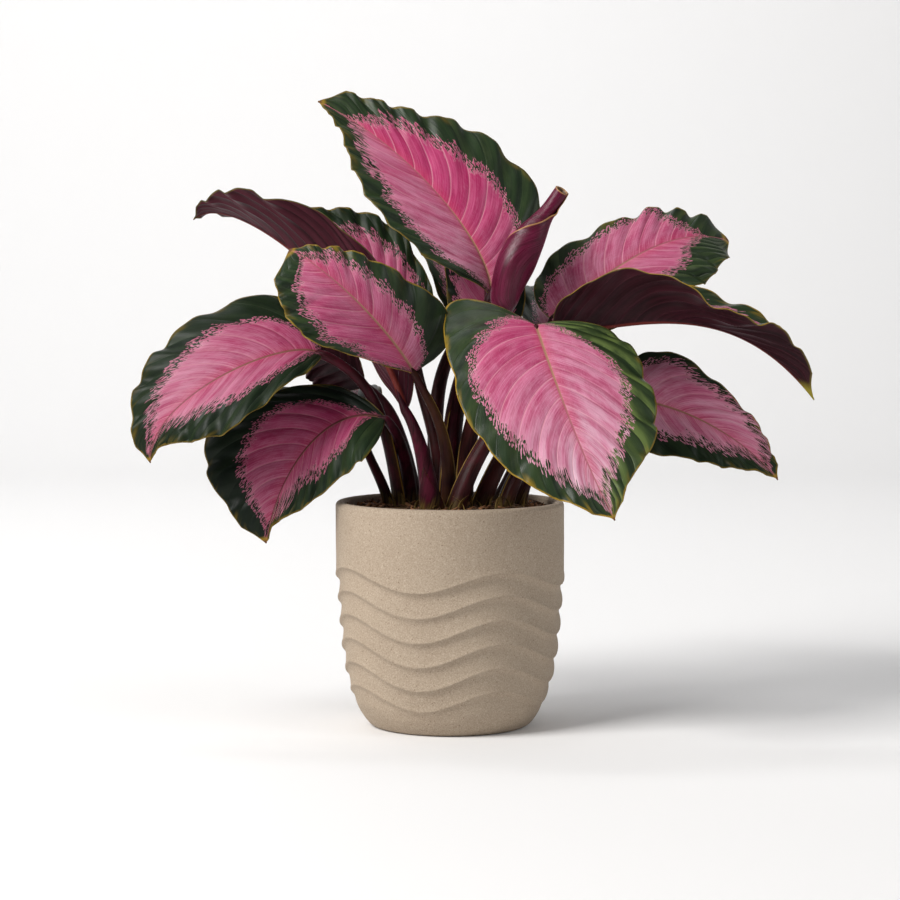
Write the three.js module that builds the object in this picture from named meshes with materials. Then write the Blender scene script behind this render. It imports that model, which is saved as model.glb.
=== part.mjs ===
// Potted calathea: a stoneware pot, its soil, and sixteen leaves on separate stems.
// Millimetres, +Z up. The origin is the centre of the pot's foot on the resting plane,
// +X runs to the right of the plant and -Y is its front.
import * as THREE from 'three';

// ---- driving dimensions -------------------------------------------------------------
const RIM_RADIUS = 75;
const FOOT_RADIUS = 49;
const POT_HEIGHT = 148;
const WALL = 6;
const FLOOR = 9;
const SOIL_TOP = 143.5;
const GAP = 0.3;

const RIDGE_COUNT = 6;
const RIDGE_PITCH = 15.1;
const RIDGE_TOP = 101.2;
const RIDGE_RELIEF = 1.4;
const WAVES_ROUND = 4;
const WAVE_RISE = 6.3;
const WAVE_CREST_ANGLE = 31;

const BLADE_THICKNESS = 0.9;
const VEIN_SWEEP = 0.2;
const BLADE_ROWS = [0, 0.05, 0.11, 0.19, 0.28, 0.38, 0.48, 0.58, 0.68, 0.78, 0.88, 0.95, 1];
const BLADE_COLUMNS = [-1, -0.68, -0.34, 0, 0.34, 0.68, 1];
const STEM_SIDES = 8;
const STEM_STEPS = 7;

// ---- colours ------------------------------------------------------------------------
const STONEWARE = { color: 0xb5a48f, roughness: 0.85, metalness: 0 };
const POTTING_MIX = { color: 0x3a2a20, roughness: 0.95, metalness: 0 };
const PINK_FACE = { color: 0xb55a80, roughness: 0.4, metalness: 0 };
const MAROON_BACK = { color: 0x4b202b, roughness: 0.5, metalness: 0 };
const MAROON_STEM = { color: 0x5b2732, roughness: 0.5, metalness: 0 };
const ROLLED_YOUNG = { color: 0x8a3c62, roughness: 0.45, metalness: 0 };

// ---- leaves -------------------------------------------------------------------------
// rib: four points that the midrib passes through, from the base to the tip.
// face: the way the upper face looks, at even stations along the midrib.
// half: half-width of the blade on that side at even stations, in mm.
// fold and curl: rise of that side off the rib and its bend towards the margin, degrees.
// showsBack: the maroon underside is what the front sees.
// lobe: how far the base of that side reaches back past the stem, as a share of the length.
// stem: the rest of the stem's path from the blade down to the soil, its radius at the top
// and at the foot, and how far short of the blade it stops.
const LEAVES = {
  top: {
    rib: [[27, 8, 283], [11, 16, 324], [-31, 30, 372], [-88, 42, 411]],
    face: [[0.1, -1, 0.45], [-0.1, -1, 0.6]],
    left: { half: [8, 43, 51, 37, 14, 3], fold: [33, 33, 25], curl: [-20, -10], lobe: 0 },
    right: { half: [10, 57, 58, 33, 20, 13], fold: [5, 5], curl: [-25, -30], lobe: 0.05 },
    stem: { path: [[16, 10, 250], [5, 8, 214], [-1, 2]], radius: [2.6, 5], inset: 0.9 },
  },
  front: {
    rib: [[55, -32, 264], [68, -64, 236], [85, -100, 192], [101, -122, 146]],
    face: [[0.1, -0.8, 0.7], [0.1, -1, 0.35]],
    left: { half: [40, 56, 54, 41, 15.5, 4], fold: [8, 8], curl: [-25, -25], lobe: 0.06 },
    right: { half: [54, 64, 67, 50, 22, 3], fold: [8, 8], curl: [-25, -15], lobe: 0.46 },
    stem: { path: [[47, -24, 225], [24, -27, 189], [2, -33]], radius: [2.6, 6.3] },
  },
  mid_left: {
    rib: [[-23, -31, 233], [-43, -54, 262], [-71, -68, 291], [-101, -64, 312]],
    face: [[0, -1, 0.6], [0, -1, 0.6]],
    left: { half: [4, 24, 41, 41, 31, 18], fold: [8, 8], curl: [-15, -15], lobe: 0 },
    right: { half: [52, 42, 31, 22, 12, 6], fold: [8, 8, -5], curl: [-15, -30], lobe: 0.14 },
    stem: { path: [[-11.7, -27, 211], [-2.7, -22, 183], [-1.5, -18]], radius: [2.4, 5] },
  },
  far_left: {
    rib: [[-84, -18, 245], [-122, -30, 242], [-170, -38, 215], [-193, -34, 175]],
    face: [[0, -0.9, 0.9], [-0.2, -1, 0.6]],
    left: { half: [18, 37, 45, 30, 8.5, 1], fold: [25, 10], curl: [-15, -15], lobe: 0 },
    right: { half: [42, 57, 51, 36, 18, 4], fold: [8, 8], curl: [-25, -25], lobe: 0.05 },
    stem: { path: [[-58.5, -12, 227], [-42.5, -5, 195], [-31.5, -9]], radius: [2.6, 4.5], inset: 1.3 },
  },
  low_left: {
    rib: [[-42, -19, 203], [-80, -17, 196], [-107, -16, 162], [-120, -14, 121]],
    face: [[0, -0.8, 0.9], [-0.2, -1, 0.6]],
    left: { half: [44, 42, 33, 20.5, 4, 1], fold: [12, 8], curl: [-15, -15], lobe: 0.06 },
    right: { half: [4, 35, 58, 52, 28, 9], fold: [8, 8], curl: [-20, -20], lobe: 0 },
    stem: { path: [[-34, -10, 190], [-29, 3, 170], [-26, 4]], radius: [2.2, 4.4], inset: 1.9 },
  },
  back_left: {
    rib: [[-24, 38, 254], [-43, 48, 286], [-70, 56, 314], [-108, 60, 333]],
    face: [[0, -1, 0.6], [0, -1, 0.6]],
    left: { half: [26, 32, 34, 26, 16, 8], fold: [8, 8], curl: [-15, -15], lobe: 0.05 },
    right: { half: [20, 29, 35, 27, 16, 10], fold: [8, 8], curl: [-15, -15], lobe: 0.05 },
    stem: { path: [[-18, 29, 216], [-9, 17, 182], [-11, 9]], radius: [2.4, 4.8], inset: 1.1 },
  },
  arching_left: {
    showsBack: true,
    rib: [[-29, -34, 209], [-68, -8, 278], [-126, 10, 327], [-169, 16, 332]],
    face: [[0.3, 1, 0.6], [0.1, 0.9, 0.7], [0, 0.5, 1], [0, 0.5, 1]],
    left: { half: [12, 32, 41, 38, 18, 3], fold: [46, 20, 0, 0], curl: [10, 10], lobe: 0 },
    right: { half: [8, 31, 46.5, 42, 14, 2], fold: [20, 35, 25, 20], curl: [10, 10], lobe: 0 },
    stem: { path: [[-22, -38, 195], [-15.8, -40, 172], [-11.6, -36]], radius: [2.6, 7], inset: 1.8 },
  },
  arching_right: {
    showsBack: true,
    rib: [[70, -4, 259], [124, -12, 265], [180, -20, 259], [236, -20, 215]],
    face: [[0, 0, 1], [0, 0, 1]],
    left: { half: [28, 40, 39, 32, 19, 4], fold: [-10, 5, 20, 30, 28, 42, 45], curl: [10, 10], lobe: 0.1 },
    right: { half: [32, 45, 45, 36, 19.5, 4], fold: [50, 42, 50, 30, 15, 35, 60], curl: [0, 10], lobe: 0.1 },
    stem: { path: [[57, -8, 220], [35, -14, 179], [18, -18]], radius: [2.6, 6] },
  },
  back_right: {
    rib: [[67, 44, 267], [103, 54, 294], [145, 68, 317], [192, 99, 319]],
    face: [[0, -1, 0.8], [0, -1, 0.8]],
    left: { half: [28, 37, 32, 29.5, 20, 20], fold: [8, 8], curl: [-15, -15], lobe: 0.08 },
    right: { half: [30, 40, 44, 41, 26, 14], fold: [8, 8], curl: [-15, -15], lobe: 0.08 },
    stem: { path: [[64, 32, 212], [55, 13, 175], [44, 2]], radius: [2.2, 4], inset: 1.8 },
  },
  low_right: {
    rib: [[117, 20, 213], [149, 15, 207], [185, 10, 189], [216, 5, 161]],
    face: [[0.2, -1, 0.6], [0.2, -1, 0.6]],
    left: { half: [40, 41, 28, 19.5, 10, 4], fold: [8, 8], curl: [-15, -15], lobe: 0.08 },
    right: { half: [26, 38, 31, 22, 9, 1], fold: [8, 8], curl: [-15, -15], lobe: 0.08 },
    stem: { path: [[83, 8, 207], [53, -6, 180], [34, -13]], radius: [2.4, 5.5] },
  },
  behind: {
    rib: [[25, 45, 249], [24, 55, 279], [23, 62, 319], [19, 66, 353]],
    face: [[0, -1, 0.3], [0, -1, 0.3]],
    left: { half: [14, 25, 27, 20, 14, 4], fold: [8, 8], curl: [-15, -15], lobe: 0.05 },
    right: { half: [14, 26, 28, 22, 14, 4], fold: [8, 8], curl: [-15, -15], lobe: 0.05 },
    stem: { path: [[9, 39, 219], [1, 28, 186], [-1, 16]], radius: [2.4, 5], inset: 2.2 },
  },
  inner_left: {
    showsBack: true,
    rib: [[-57, 27, 222], [-70, 33, 234], [-88, 38, 246], [-108, 42, 252]],
    face: [[0.1, 1, 0.35], [0.1, 1, 0.5]],
    left: { half: [3, 12, 22, 22, 14, 4], fold: [15, 15], curl: [10, 10], lobe: 0 },
    right: { half: [6, 18, 27, 27, 18, 5], fold: [15, 15], curl: [10, 10], lobe: 0 },
    stem: { path: [[-42, 24, 206], [-33, 18, 181], [-25, 15]], radius: [2.2, 4.8] },
  },
  rear_left: {
    rib: [[-57, 34, 198], [-80, 74, 216], [-102, 114, 208], [-119, 146, 176]],
    face: [[-0.1, -0.3, 1], [-0.1, 0.2, 1], [-0.2, 0.7, 0.7]],
    left: { half: [24, 36, 38, 30, 16, 4], fold: [12, 12], curl: [-20, -20], lobe: 0.05 },
    right: { half: [20, 30, 36, 30, 16, 4], fold: [12, 12], curl: [-20, -20], lobe: 0.05 },
    stem: { path: [[-57, 25, 184], [-48, 15, 164], [-39, 9]], radius: [2.2, 3.8], inset: 3.3 },
  },
  rear_high: {
    rib: [[12, 66, 260], [10, 94, 304], [5, 136, 322], [-3, 176, 300]],
    face: [[0, -0.8, 0.6], [0, -0.3, 0.95], [0, 0.5, 0.85]],
    left: { half: [16, 26, 36, 32, 18, 4], fold: [14, 14], curl: [-15, -15], lobe: 0.05 },
    right: { half: [16, 26, 36, 32, 18, 4], fold: [14, 14], curl: [-15, -15], lobe: 0.05 },
    stem: { path: [[-6, 59, 226], [-10, 46, 185], [-9, 30]], radius: [2.2, 4], inset: 2.3 },
  },
  rear_right: {
    rib: [[64, 64, 256], [86, 100, 284], [106, 138, 287], [122, 170, 264]],
    face: [[-0.1, -0.4, 1], [0, 0, 1], [0.3, 0.5, 0.8]],
    left: { half: [24, 36, 38, 30, 16, 4], fold: [14, 14], curl: [-20, -20], lobe: 0.05 },
    right: { half: [24, 36, 38, 30, 16, 4], fold: [14, 14], curl: [-20, -20], lobe: 0.05 },
    stem: { path: [[62, 56, 222], [46, 38, 175], [26, 19]], radius: [2.2, 4], inset: 2.6 },
  },
};

// The young leaf is a roll: its axis, and its radius at even stations from the bottom.
const ROLL = {
  axis: [[34, -8, 265], [41, -6, 298], [56, -4, 326], [73, -1, 351]],
  radius: [7.5, 10.5, 12.8, 10.5, 5.5, 4.6],
  mouthDepth: 10,
  mouthWall: 1.6,
  stem: { path: [[25, -5, 231], [14, -3, 194], [10, -3]], radius: [3, 5.2], inset: 0.9 },
};

// ---- curves -------------------------------------------------------------------------
const vec = ([x, y, z]) => new THREE.Vector3(x, y, z);
const radians = THREE.MathUtils.degToRad;

// The cubic that passes through four points at a third of its run apart.
function curveThrough(points) {
  const [a, b, c, d] = points.map(vec);
  const first = a.clone().multiplyScalar(-5).addScaledVector(b, 18).addScaledVector(c, -9);
  first.addScaledVector(d, 2).divideScalar(6);
  const second = a.clone().multiplyScalar(2).addScaledVector(b, -9).addScaledVector(c, 18);
  second.addScaledVector(d, -5).divideScalar(6);
  return new THREE.CubicBezierCurve3(a, first, second, d);
}

// The value at t of a list given at even stations, eased from one station to the next.
function along(list, t) {
  const last = list.length - 1;
  const x = THREE.MathUtils.clamp(t, 0, 1) * last;
  const i = Math.min(Math.floor(x), last - 1);
  const f = x - i;
  const b = list[i];
  const c = list[i + 1];
  const a = i > 0 ? list[i - 1] : 2 * b - c;
  const d = i + 2 <= last ? list[i + 2] : 2 * c - b;
  return b + 0.5 * f * (c - a + f * (2 * a - 5 * b + 4 * c - d + f * (3 * (b - c) + d - a)));
}

// ---- closed meshes ------------------------------------------------------------------
function meshFrom(name, points, faces, finish) {
  const geometry = new THREE.BufferGeometry();
  const position = points.flatMap((p) => [p.x, p.y, p.z]);
  geometry.setAttribute('position', new THREE.Float32BufferAttribute(position, 3));
  geometry.setIndex(faces);
  geometry.computeVertexNormals();
  const mesh = new THREE.Mesh(geometry, new THREE.MeshStandardMaterial(finish));
  mesh.name = name;
  return mesh;
}

// A closed body from rings of equal count, each running anticlockwise about the way the
// rings follow one another; both ends are closed by a fan about their middle point.
function ringBody(name, rings, firstMiddle, lastMiddle, finish) {
  const count = rings[0].length;
  const points = rings.flat();
  const faces = [];
  for (let i = 0; i + 1 < rings.length; i += 1) {
    for (let j = 0; j < count; j += 1) {
      const k = (j + 1) % count;
      const a = i * count + j;
      const b = i * count + k;
      faces.push(a, b, b + count, a, b + count, a + count);
    }
  }
  const first = points.push(firstMiddle) - 1;
  const last = points.push(lastMiddle) - 1;
  const top = (rings.length - 1) * count;
  for (let j = 0; j < count; j += 1) {
    const k = (j + 1) % count;
    faces.push(first, k, j);
    faces.push(last, top + j, top + k);
  }
  return meshFrom(name, points, faces, finish);
}

// ---- blades -------------------------------------------------------------------------
// Half-width of one side at q, the station where a vein leaves the rib: the list of
// widths, drawn in to the rounded base and to the pointed tip.
function halfWidth(side, q) {
  const base = Math.sqrt(1 - (1 - Math.min(q / 0.12, 1)) ** 2);
  const tip = Math.min((1 - q) / 0.1, 1) ** 0.9;
  return Math.max(along(side.half, q) * base * tip, 1.6 - 0.8 * q);
}

// A point of the blade. A vein leaves the rib at q and sweeps forward to the margin at
// v = -1 (left) or +1 (right). Across the blade the section is an arc that starts at the
// fold angle and turns by the curl angle.
function bladePoint(leaf, curve, length, q, v) {
  const side = v < 0 ? leaf.left : leaf.right;
  const across = Math.abs(v);
  const half = halfWidth(side, q);
  const widest = Math.max(...side.half);
  const forward = VEIN_SWEEP * Math.sin(Math.PI * q) * (1 - 0.35 * q);
  const back = side.lobe * (half / widest) * (1 - q) ** 3;
  const run = q + (forward - back) * across ** 1.3;
  const t = THREE.MathUtils.clamp(run, 0, 1);
  const tangent = curve.getTangent(t);
  const middle = curve.getPoint(t).addScaledVector(tangent, (run - t) * length);
  const faces = leaf.face.map((direction) => vec(direction).normalize().toArray());
  const up = vec([0, 1, 2].map((axis) => along(faces.map((face) => face[axis]), t)));
  const right = tangent.clone().cross(up).normalize();
  up.copy(right).cross(tangent);
  const fold = radians(along(side.fold, t));
  const curl = radians(along(side.curl, t)) || 1e-4;
  const turn = fold + (curl * across * half) / widest;
  const out = (widest / curl) * (Math.sin(turn) - Math.sin(fold));
  const rise = (widest / curl) * (Math.cos(fold) - Math.cos(turn));
  return middle.addScaledVector(right, Math.sign(v) * out).addScaledVector(up, rise);
}

// The blade as a thin closed body: its middle surface moved out to both faces, and a
// strip that closes the margin.
function blade(name, leaf) {
  const curve = curveThrough(leaf.rib);
  const length = curve.getLength();
  const rows = BLADE_ROWS.length;
  const columns = BLADE_COLUMNS.length;
  const middle = [];
  for (const q of BLADE_ROWS) {
    for (const v of BLADE_COLUMNS) {
      middle.push(bladePoint(leaf, curve, length, q, v));
    }
  }
  const at = (i, j) => i * columns + j;
  const upper = [];
  const lower = [];
  for (let i = 0; i < rows; i += 1) {
    for (let j = 0; j < columns; j += 1) {
      const ahead = middle[at(Math.min(i + 1, rows - 1), j)];
      const behind = middle[at(Math.max(i - 1, 0), j)];
      const right = middle[at(i, Math.min(j + 1, columns - 1))];
      const left = middle[at(i, Math.max(j - 1, 0))];
      const normal = right.clone().sub(left).cross(ahead.clone().sub(behind)).normalize();
      const p = middle[at(i, j)];
      upper.push(p.clone().addScaledVector(normal, BLADE_THICKNESS / 2));
      lower.push(p.clone().addScaledVector(normal, -BLADE_THICKNESS / 2));
    }
  }
  const under = upper.length;
  const faces = [];
  for (let i = 0; i + 1 < rows; i += 1) {
    for (let j = 0; j + 1 < columns; j += 1) {
      const [a, b, c, d] = [at(i, j), at(i, j + 1), at(i + 1, j + 1), at(i + 1, j)];
      faces.push(a, b, c, a, c, d);
      faces.push(under + a, under + c, under + b, under + a, under + d, under + c);
    }
  }
  const margin = [];
  for (let j = 0; j < columns; j += 1) margin.push(at(0, j));
  for (let i = 1; i < rows; i += 1) margin.push(at(i, columns - 1));
  for (let j = columns - 2; j >= 0; j -= 1) margin.push(at(rows - 1, j));
  for (let i = rows - 2; i > 0; i -= 1) margin.push(at(i, 0));
  margin.forEach((a, n) => {
    const b = margin[(n + 1) % margin.length];
    faces.push(a, under + a, under + b, a, under + b, b);
  });
  return meshFrom(name, [...upper, ...lower], faces, leaf.showsBack ? MAROON_BACK : PINK_FACE);
}

// ---- stems --------------------------------------------------------------------------
// A ring of points about a middle, square to the given direction.
function ringAbout(middle, direction, radius, sides) {
  const across = direction.clone().cross(new THREE.Vector3(0, 1, 0)).normalize();
  const away = direction.clone().cross(across).normalize();
  const ring = [];
  for (let j = 0; j < sides; j += 1) {
    const angle = (2 * Math.PI * j) / sides;
    const p = middle.clone().addScaledVector(across, radius * Math.cos(angle));
    ring.push(p.addScaledVector(away, radius * Math.sin(angle)));
  }
  return ring;
}

// A stem that tapers from its foot on the soil up to just under the blade.
function stem(name, top, { path, radius, inset = 1.5 }) {
  const foot = [...path[path.length - 1], SOIL_TOP + GAP];
  const curve = curveThrough([foot, path[1], path[0], top]);
  const end = 1 - inset / curve.getLength();
  const rings = [];
  for (let i = 0; i <= STEM_STEPS; i += 1) {
    const share = i / STEM_STEPS;
    const t = share * end;
    const direction = i === 0 ? new THREE.Vector3(0, 0, 1) : curve.getTangent(t);
    const r = THREE.MathUtils.lerp(radius[1], radius[0], share ** 0.6);
    rings.push(ringAbout(curve.getPoint(t), direction, r, STEM_SIDES));
  }
  return ringBody(name, rings, curve.getPoint(0), curve.getPoint(end), MAROON_STEM);
}

// ---- rolled leaf --------------------------------------------------------------------
// A tapering roll, closed at the bottom, with a shallow mouth at its upper end.
function rolledLeaf(name) {
  const curve = curveThrough(ROLL.axis);
  const mouth = 1 - ROLL.mouthDepth / curve.getLength();
  const rings = [];
  const steps = 10;
  for (let i = 0; i <= steps; i += 1) {
    const t = i / steps;
    rings.push(ringAbout(curve.getPoint(t), curve.getTangent(t), along(ROLL.radius, t), 12));
  }
  for (const t of [1, mouth]) {
    const r = along(ROLL.radius, t) - ROLL.mouthWall;
    rings.push(ringAbout(curve.getPoint(t), curve.getTangent(t), r, 12));
  }
  return ringBody(name, rings, curve.getPoint(0), curve.getPoint(mouth), ROLLED_YOUNG);
}

// ---- pot ----------------------------------------------------------------------------
// Outer radius of the plain body by height, from the rounded foot up to the straight wall.
const OUTLINE = [
  [0, FOOT_RADIUS], [1.5, 52.8], [6, 56.3], [12, 60.3], [20, 64], [32, 67.6], [46, 70],
  [62, 71.8], [80, 73.2], [98, 74.4], [110, RIM_RADIUS], [POT_HEIGHT, RIM_RADIUS],
];

function bodyRadius(z) {
  const i = Math.max(1, OUTLINE.findIndex(([height]) => height >= z));
  const [z0, r0] = OUTLINE[i - 1];
  const [z1, r1] = OUTLINE[i];
  return r0 + ((r1 - r0) * (z - z0)) / (z1 - z0);
}

// Height of the wave at an angle measured from the front towards +X.
const waveAt = (angle) => WAVE_RISE * Math.cos(WAVES_ROUND * (angle - radians(WAVE_CREST_ANGLE)));

// A full turn of points at one height rule and one radius rule.
function turn(heightAt, radiusAt, sides) {
  const ring = [];
  for (let j = 0; j < sides; j += 1) {
    const angle = (2 * Math.PI * j) / sides;
    const z = heightAt(angle);
    const r = radiusAt(z);
    ring.push(new THREE.Vector3(r * Math.sin(angle), -r * Math.cos(angle), z));
  }
  return ring;
}

function pot(name) {
  const sides = 40;
  const rings = [];
  for (const z of [0, 1.5, 6]) {
    rings.push(turn(() => z, bodyRadius, sides));
  }
  rings.push(turn((angle) => 12 + 0.5 * waveAt(angle), bodyRadius, sides));
  // each ridge: the hollow under it, its crest, and the slope that falls back above it
  for (let k = RIDGE_COUNT - 1; k >= 0; k -= 1) {
    const crest = RIDGE_TOP - k * RIDGE_PITCH;
    rings.push(turn((angle) => crest - 4.2 + waveAt(angle), (z) => bodyRadius(z) - 0.2, sides));
    rings.push(turn((angle) => crest + waveAt(angle), (z) => bodyRadius(z) + RIDGE_RELIEF, sides));
    rings.push(turn((angle) => crest + 5 + waveAt(angle), (z) => bodyRadius(z) + 0.5, sides));
  }
  rings.push(turn((angle) => 116 + 0.4 * waveAt(angle), bodyRadius, sides));
  const corner = WALL / 2;
  for (const share of [0, 30, 60, 90, 120, 150, 180]) {
    const lift = POT_HEIGHT - corner + corner * Math.sin(radians(share));
    const r = RIM_RADIUS - corner + corner * Math.cos(radians(share));
    rings.push(turn(() => lift, () => r, sides));
  }
  for (const z of [110, 62, 32, FLOOR + 6]) {
    rings.push(turn(() => z, (height) => bodyRadius(height) - WALL, sides));
  }
  rings.push(turn(() => FLOOR, () => bodyRadius(FLOOR) - WALL - 4, sides));
  return ringBody(name, rings, vec([0, 0, 0]), vec([0, 0, FLOOR]), STONEWARE);
}

// ---- soil ---------------------------------------------------------------------------
// Fills the pot with a small clearance; its top is level under the stems and falls a
// little towards the wall.
function soil(name) {
  const inside = (z) => bodyRadius(z) - WALL - 3 * GAP;
  const profile = [
    [0, FLOOR + GAP], [inside(FLOOR) - 4.5, FLOOR + GAP], [inside(FLOOR + 6), FLOOR + 6],
    [inside(32), 32], [inside(62), 62], [inside(110), 110], [inside(SOIL_TOP), SOIL_TOP - 3],
    [62, SOIL_TOP - 0.8], [54, SOIL_TOP], [0, SOIL_TOP],
  ];
  const geometry = new THREE.LatheGeometry(profile.map(([r, z]) => new THREE.Vector2(r, z)), 40);
  geometry.rotateX(Math.PI / 2);
  const mesh = new THREE.Mesh(geometry, new THREE.MeshStandardMaterial(POTTING_MIX));
  mesh.name = name;
  return mesh;
}

// ---- assembly -----------------------------------------------------------------------
const plant = new THREE.Group();
plant.add(pot('pot'), soil('soil'));
for (const [name, leaf] of Object.entries(LEAVES)) {
  const shoot = new THREE.Group();
  shoot.add(blade(`leaf_${name}`, leaf));
  shoot.add(stem(`stem_${name}`, leaf.rib[0], leaf.stem));
  plant.add(shoot);
}
const youngShoot = new THREE.Group();
youngShoot.add(rolledLeaf('leaf_rolled'));
youngShoot.add(stem('stem_rolled', ROLL.axis[0], ROLL.stem));
plant.add(youngShoot);

export default plant;
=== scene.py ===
import bpy
import numpy as np
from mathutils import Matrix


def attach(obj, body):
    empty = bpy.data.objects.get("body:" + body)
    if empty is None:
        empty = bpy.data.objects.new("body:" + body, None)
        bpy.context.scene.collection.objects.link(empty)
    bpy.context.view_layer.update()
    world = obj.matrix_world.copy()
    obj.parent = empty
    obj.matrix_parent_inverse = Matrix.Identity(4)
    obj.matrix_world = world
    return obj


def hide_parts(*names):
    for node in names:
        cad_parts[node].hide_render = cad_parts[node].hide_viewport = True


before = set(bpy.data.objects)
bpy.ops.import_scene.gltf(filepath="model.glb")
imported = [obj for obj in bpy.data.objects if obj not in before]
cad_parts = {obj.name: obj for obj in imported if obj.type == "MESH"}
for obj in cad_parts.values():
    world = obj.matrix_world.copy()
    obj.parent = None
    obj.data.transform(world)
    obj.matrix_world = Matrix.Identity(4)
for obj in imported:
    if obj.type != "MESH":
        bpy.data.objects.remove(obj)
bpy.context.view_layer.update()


# ---------------------------------------------------------------- studio
# The plant stands on a pale seamless sweep: a level floor that curves up into the back
# wall. A large soft lamp at the left is the main light, with a weak one to the right, one
# that washes the wall, and the view is level with the lower leaves, looking slightly down.
def sheet_faces(rows, columns, closed=False):
    """Quads of a grid counted row by row: each station is joined to the next along and across.
    A closed grid also joins its last column back to its first."""
    i, j = np.meshgrid(np.arange(rows - 1), np.arange(columns if closed else columns - 1), indexing="ij")
    k = (j + 1) % columns
    corners = [i * columns + j, i * columns + k, (i + 1) * columns + k, (i + 1) * columns + j]
    return np.stack(corners, -1).reshape(-1, 4)


def new_piece(name, points, faces, finishes, which=None):
    """Puts points (metres) and faces into a smooth mesh; which gives each face's finish by number."""
    mesh = bpy.data.meshes.new(name)
    mesh.from_pydata(np.asarray(points, float).reshape(-1, 3).tolist(), [], [list(f) for f in faces])
    for finish in finishes:
        mesh.materials.append(finish)
    if which is not None:
        mesh.polygons.foreach_set("material_index", np.asarray(which, np.int32))
    mesh.polygons.foreach_set("use_smooth", np.full(len(mesh.polygons), True))
    mesh.update()
    piece = bpy.data.objects.new(name, mesh)
    bpy.context.scene.collection.objects.link(piece)
    return piece


def new_finish(name):
    """An empty finish with its steps and its shader, for colour, roughness and relief to be wired to."""
    finish = bpy.data.materials.new(name)
    finish.use_nodes = True
    return finish, finish.node_tree, finish.node_tree.nodes["Principled BSDF"]


SWEEP_BEND, SWEEP_HALF_WIDTH, FLOOR_FRONT, FLOOR_BACK, WALL_RISE = 0.9, 4.0, -4.0, 2.2, 2.6


def sweep_profile(t):
    """Depth and height along the sweep: level floor, then a quarter circle, then the wall."""
    arc = np.clip((t - 0.5) / 0.25, 0, 1) * np.pi / 2
    y = np.interp(t, [0, 0.5], [FLOOR_FRONT, FLOOR_BACK]) + SWEEP_BEND * np.sin(arc)
    return y, SWEEP_BEND * (1 - np.cos(arc)) + np.interp(t, [0.75, 1], [0, WALL_RISE])


sweep_paper, tree, shader = new_finish("pale_sweep")
shader.inputs["Base Color"].default_value = (0.86, 0.855, 0.855, 1)
shader.inputs["Roughness"].default_value = 0.9
across = np.linspace(-SWEEP_HALF_WIDTH, SWEEP_HALF_WIDTH, 12)
t, x = np.meshgrid(np.linspace(0, 1, 90), across, indexing="ij")
y, z = sweep_profile(t)
sweep = new_piece("studio_sweep", np.stack([x, y, z], -1), sheet_faces(90, 12)[:, ::-1], [sweep_paper])


def soft_lamp(name, place, aim, size, power, tint):
    """A square area lamp that faces the aim point."""
    lamp = bpy.data.lights.new(name, "AREA")
    lamp.size, lamp.energy, lamp.color = size, power, tint
    holder = bpy.data.objects.new(name, lamp)
    bpy.context.scene.collection.objects.link(holder)
    holder.location = place
    holder.rotation_euler = (holder.location - type(holder.location)(aim)).to_track_quat("Z", "Y").to_euler()


soft_lamp("lamp_left", (-1.6, -1.2, 1.75), (0, 0, 0.22), 1.2, 76, (1.0, 0.985, 0.965))
soft_lamp("lamp_right", (1.9, -0.9, 1.2), (0, 0, 0.25), 0.8, 9, (0.97, 0.985, 1.0))
soft_lamp("lamp_wall", (-0.6, 0.9, 2.6), (-0.2, 3.1, 1.3), 1.6, 46, (1, 1, 1))
studio = bpy.data.worlds.new("studio")
studio.use_nodes = True
studio.node_tree.nodes["Background"].inputs["Color"].default_value = (1, 1, 1, 1)
studio.node_tree.nodes["Background"].inputs["Strength"].default_value = 0.23
bpy.context.scene.world = studio
bpy.context.scene.view_settings.view_transform = "Standard"

VIEW_PLACE, VIEW_DOWN = (0, -1.768, 0.299), np.arctan(180 / 2700)
LENS, FILM = 108, 36
lens = bpy.data.cameras.new("view")
lens.lens, lens.sensor_width = LENS, FILM
view = bpy.data.objects.new("view", lens)
view.location = VIEW_PLACE
view.rotation_euler = (np.pi / 2 - VIEW_DOWN, 0, 0)
bpy.context.scene.collection.objects.link(view)
bpy.context.scene.camera = view


# ---------------------------------------------------------------- pot
# A thrown stoneware cover pot, unglazed outside: straight upper wall, body drawn in to a
# small foot. Six wavy steps run round it, each a crisp lip over a hollow that swells out
# again to the next lip. The clay is sandy with fine dark and pale grit.
POT_HEIGHT, RIM, WALL, POT_FLOOR, FOOT_HEIGHT, INNER_COVE = 0.148, 0.075, 0.006, 0.009, 0.02, 0.012
POT_SIDES = 256
LIP_HEIGHTS = np.array([0.1007, 0.0854, 0.0697, 0.0540, 0.0383, 0.0236])
LIP_WAVES = np.array([6.3, 6.9, 7.2, 7.3, 7.3, 6.5]) * 1e-3
LIP_DEPTHS = np.array([2.3, 2.5, 2.5, 2.4, 2.0, 1.2]) * 1e-3
CREST_ANGLE = np.radians(27.5)


def pot_outline(z):
    """Plain outer radius at a height: a rounded foot, a curve like an egg's end, a straight wall."""
    heights = [0, 0.6, 2, 5, 10, 16, 24, 34, 46, 60, 76, 92, 106, 120, 148]
    radii = [49, 51.2, 53.3, 55.9, 59.2, 62.3, 65.4, 68.2, 70.4, 72.0, 73.3, 74.2, 74.8, 75, 75]
    return np.interp(z, np.array(heights) * 1e-3, np.array(radii) * 1e-3)


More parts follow.
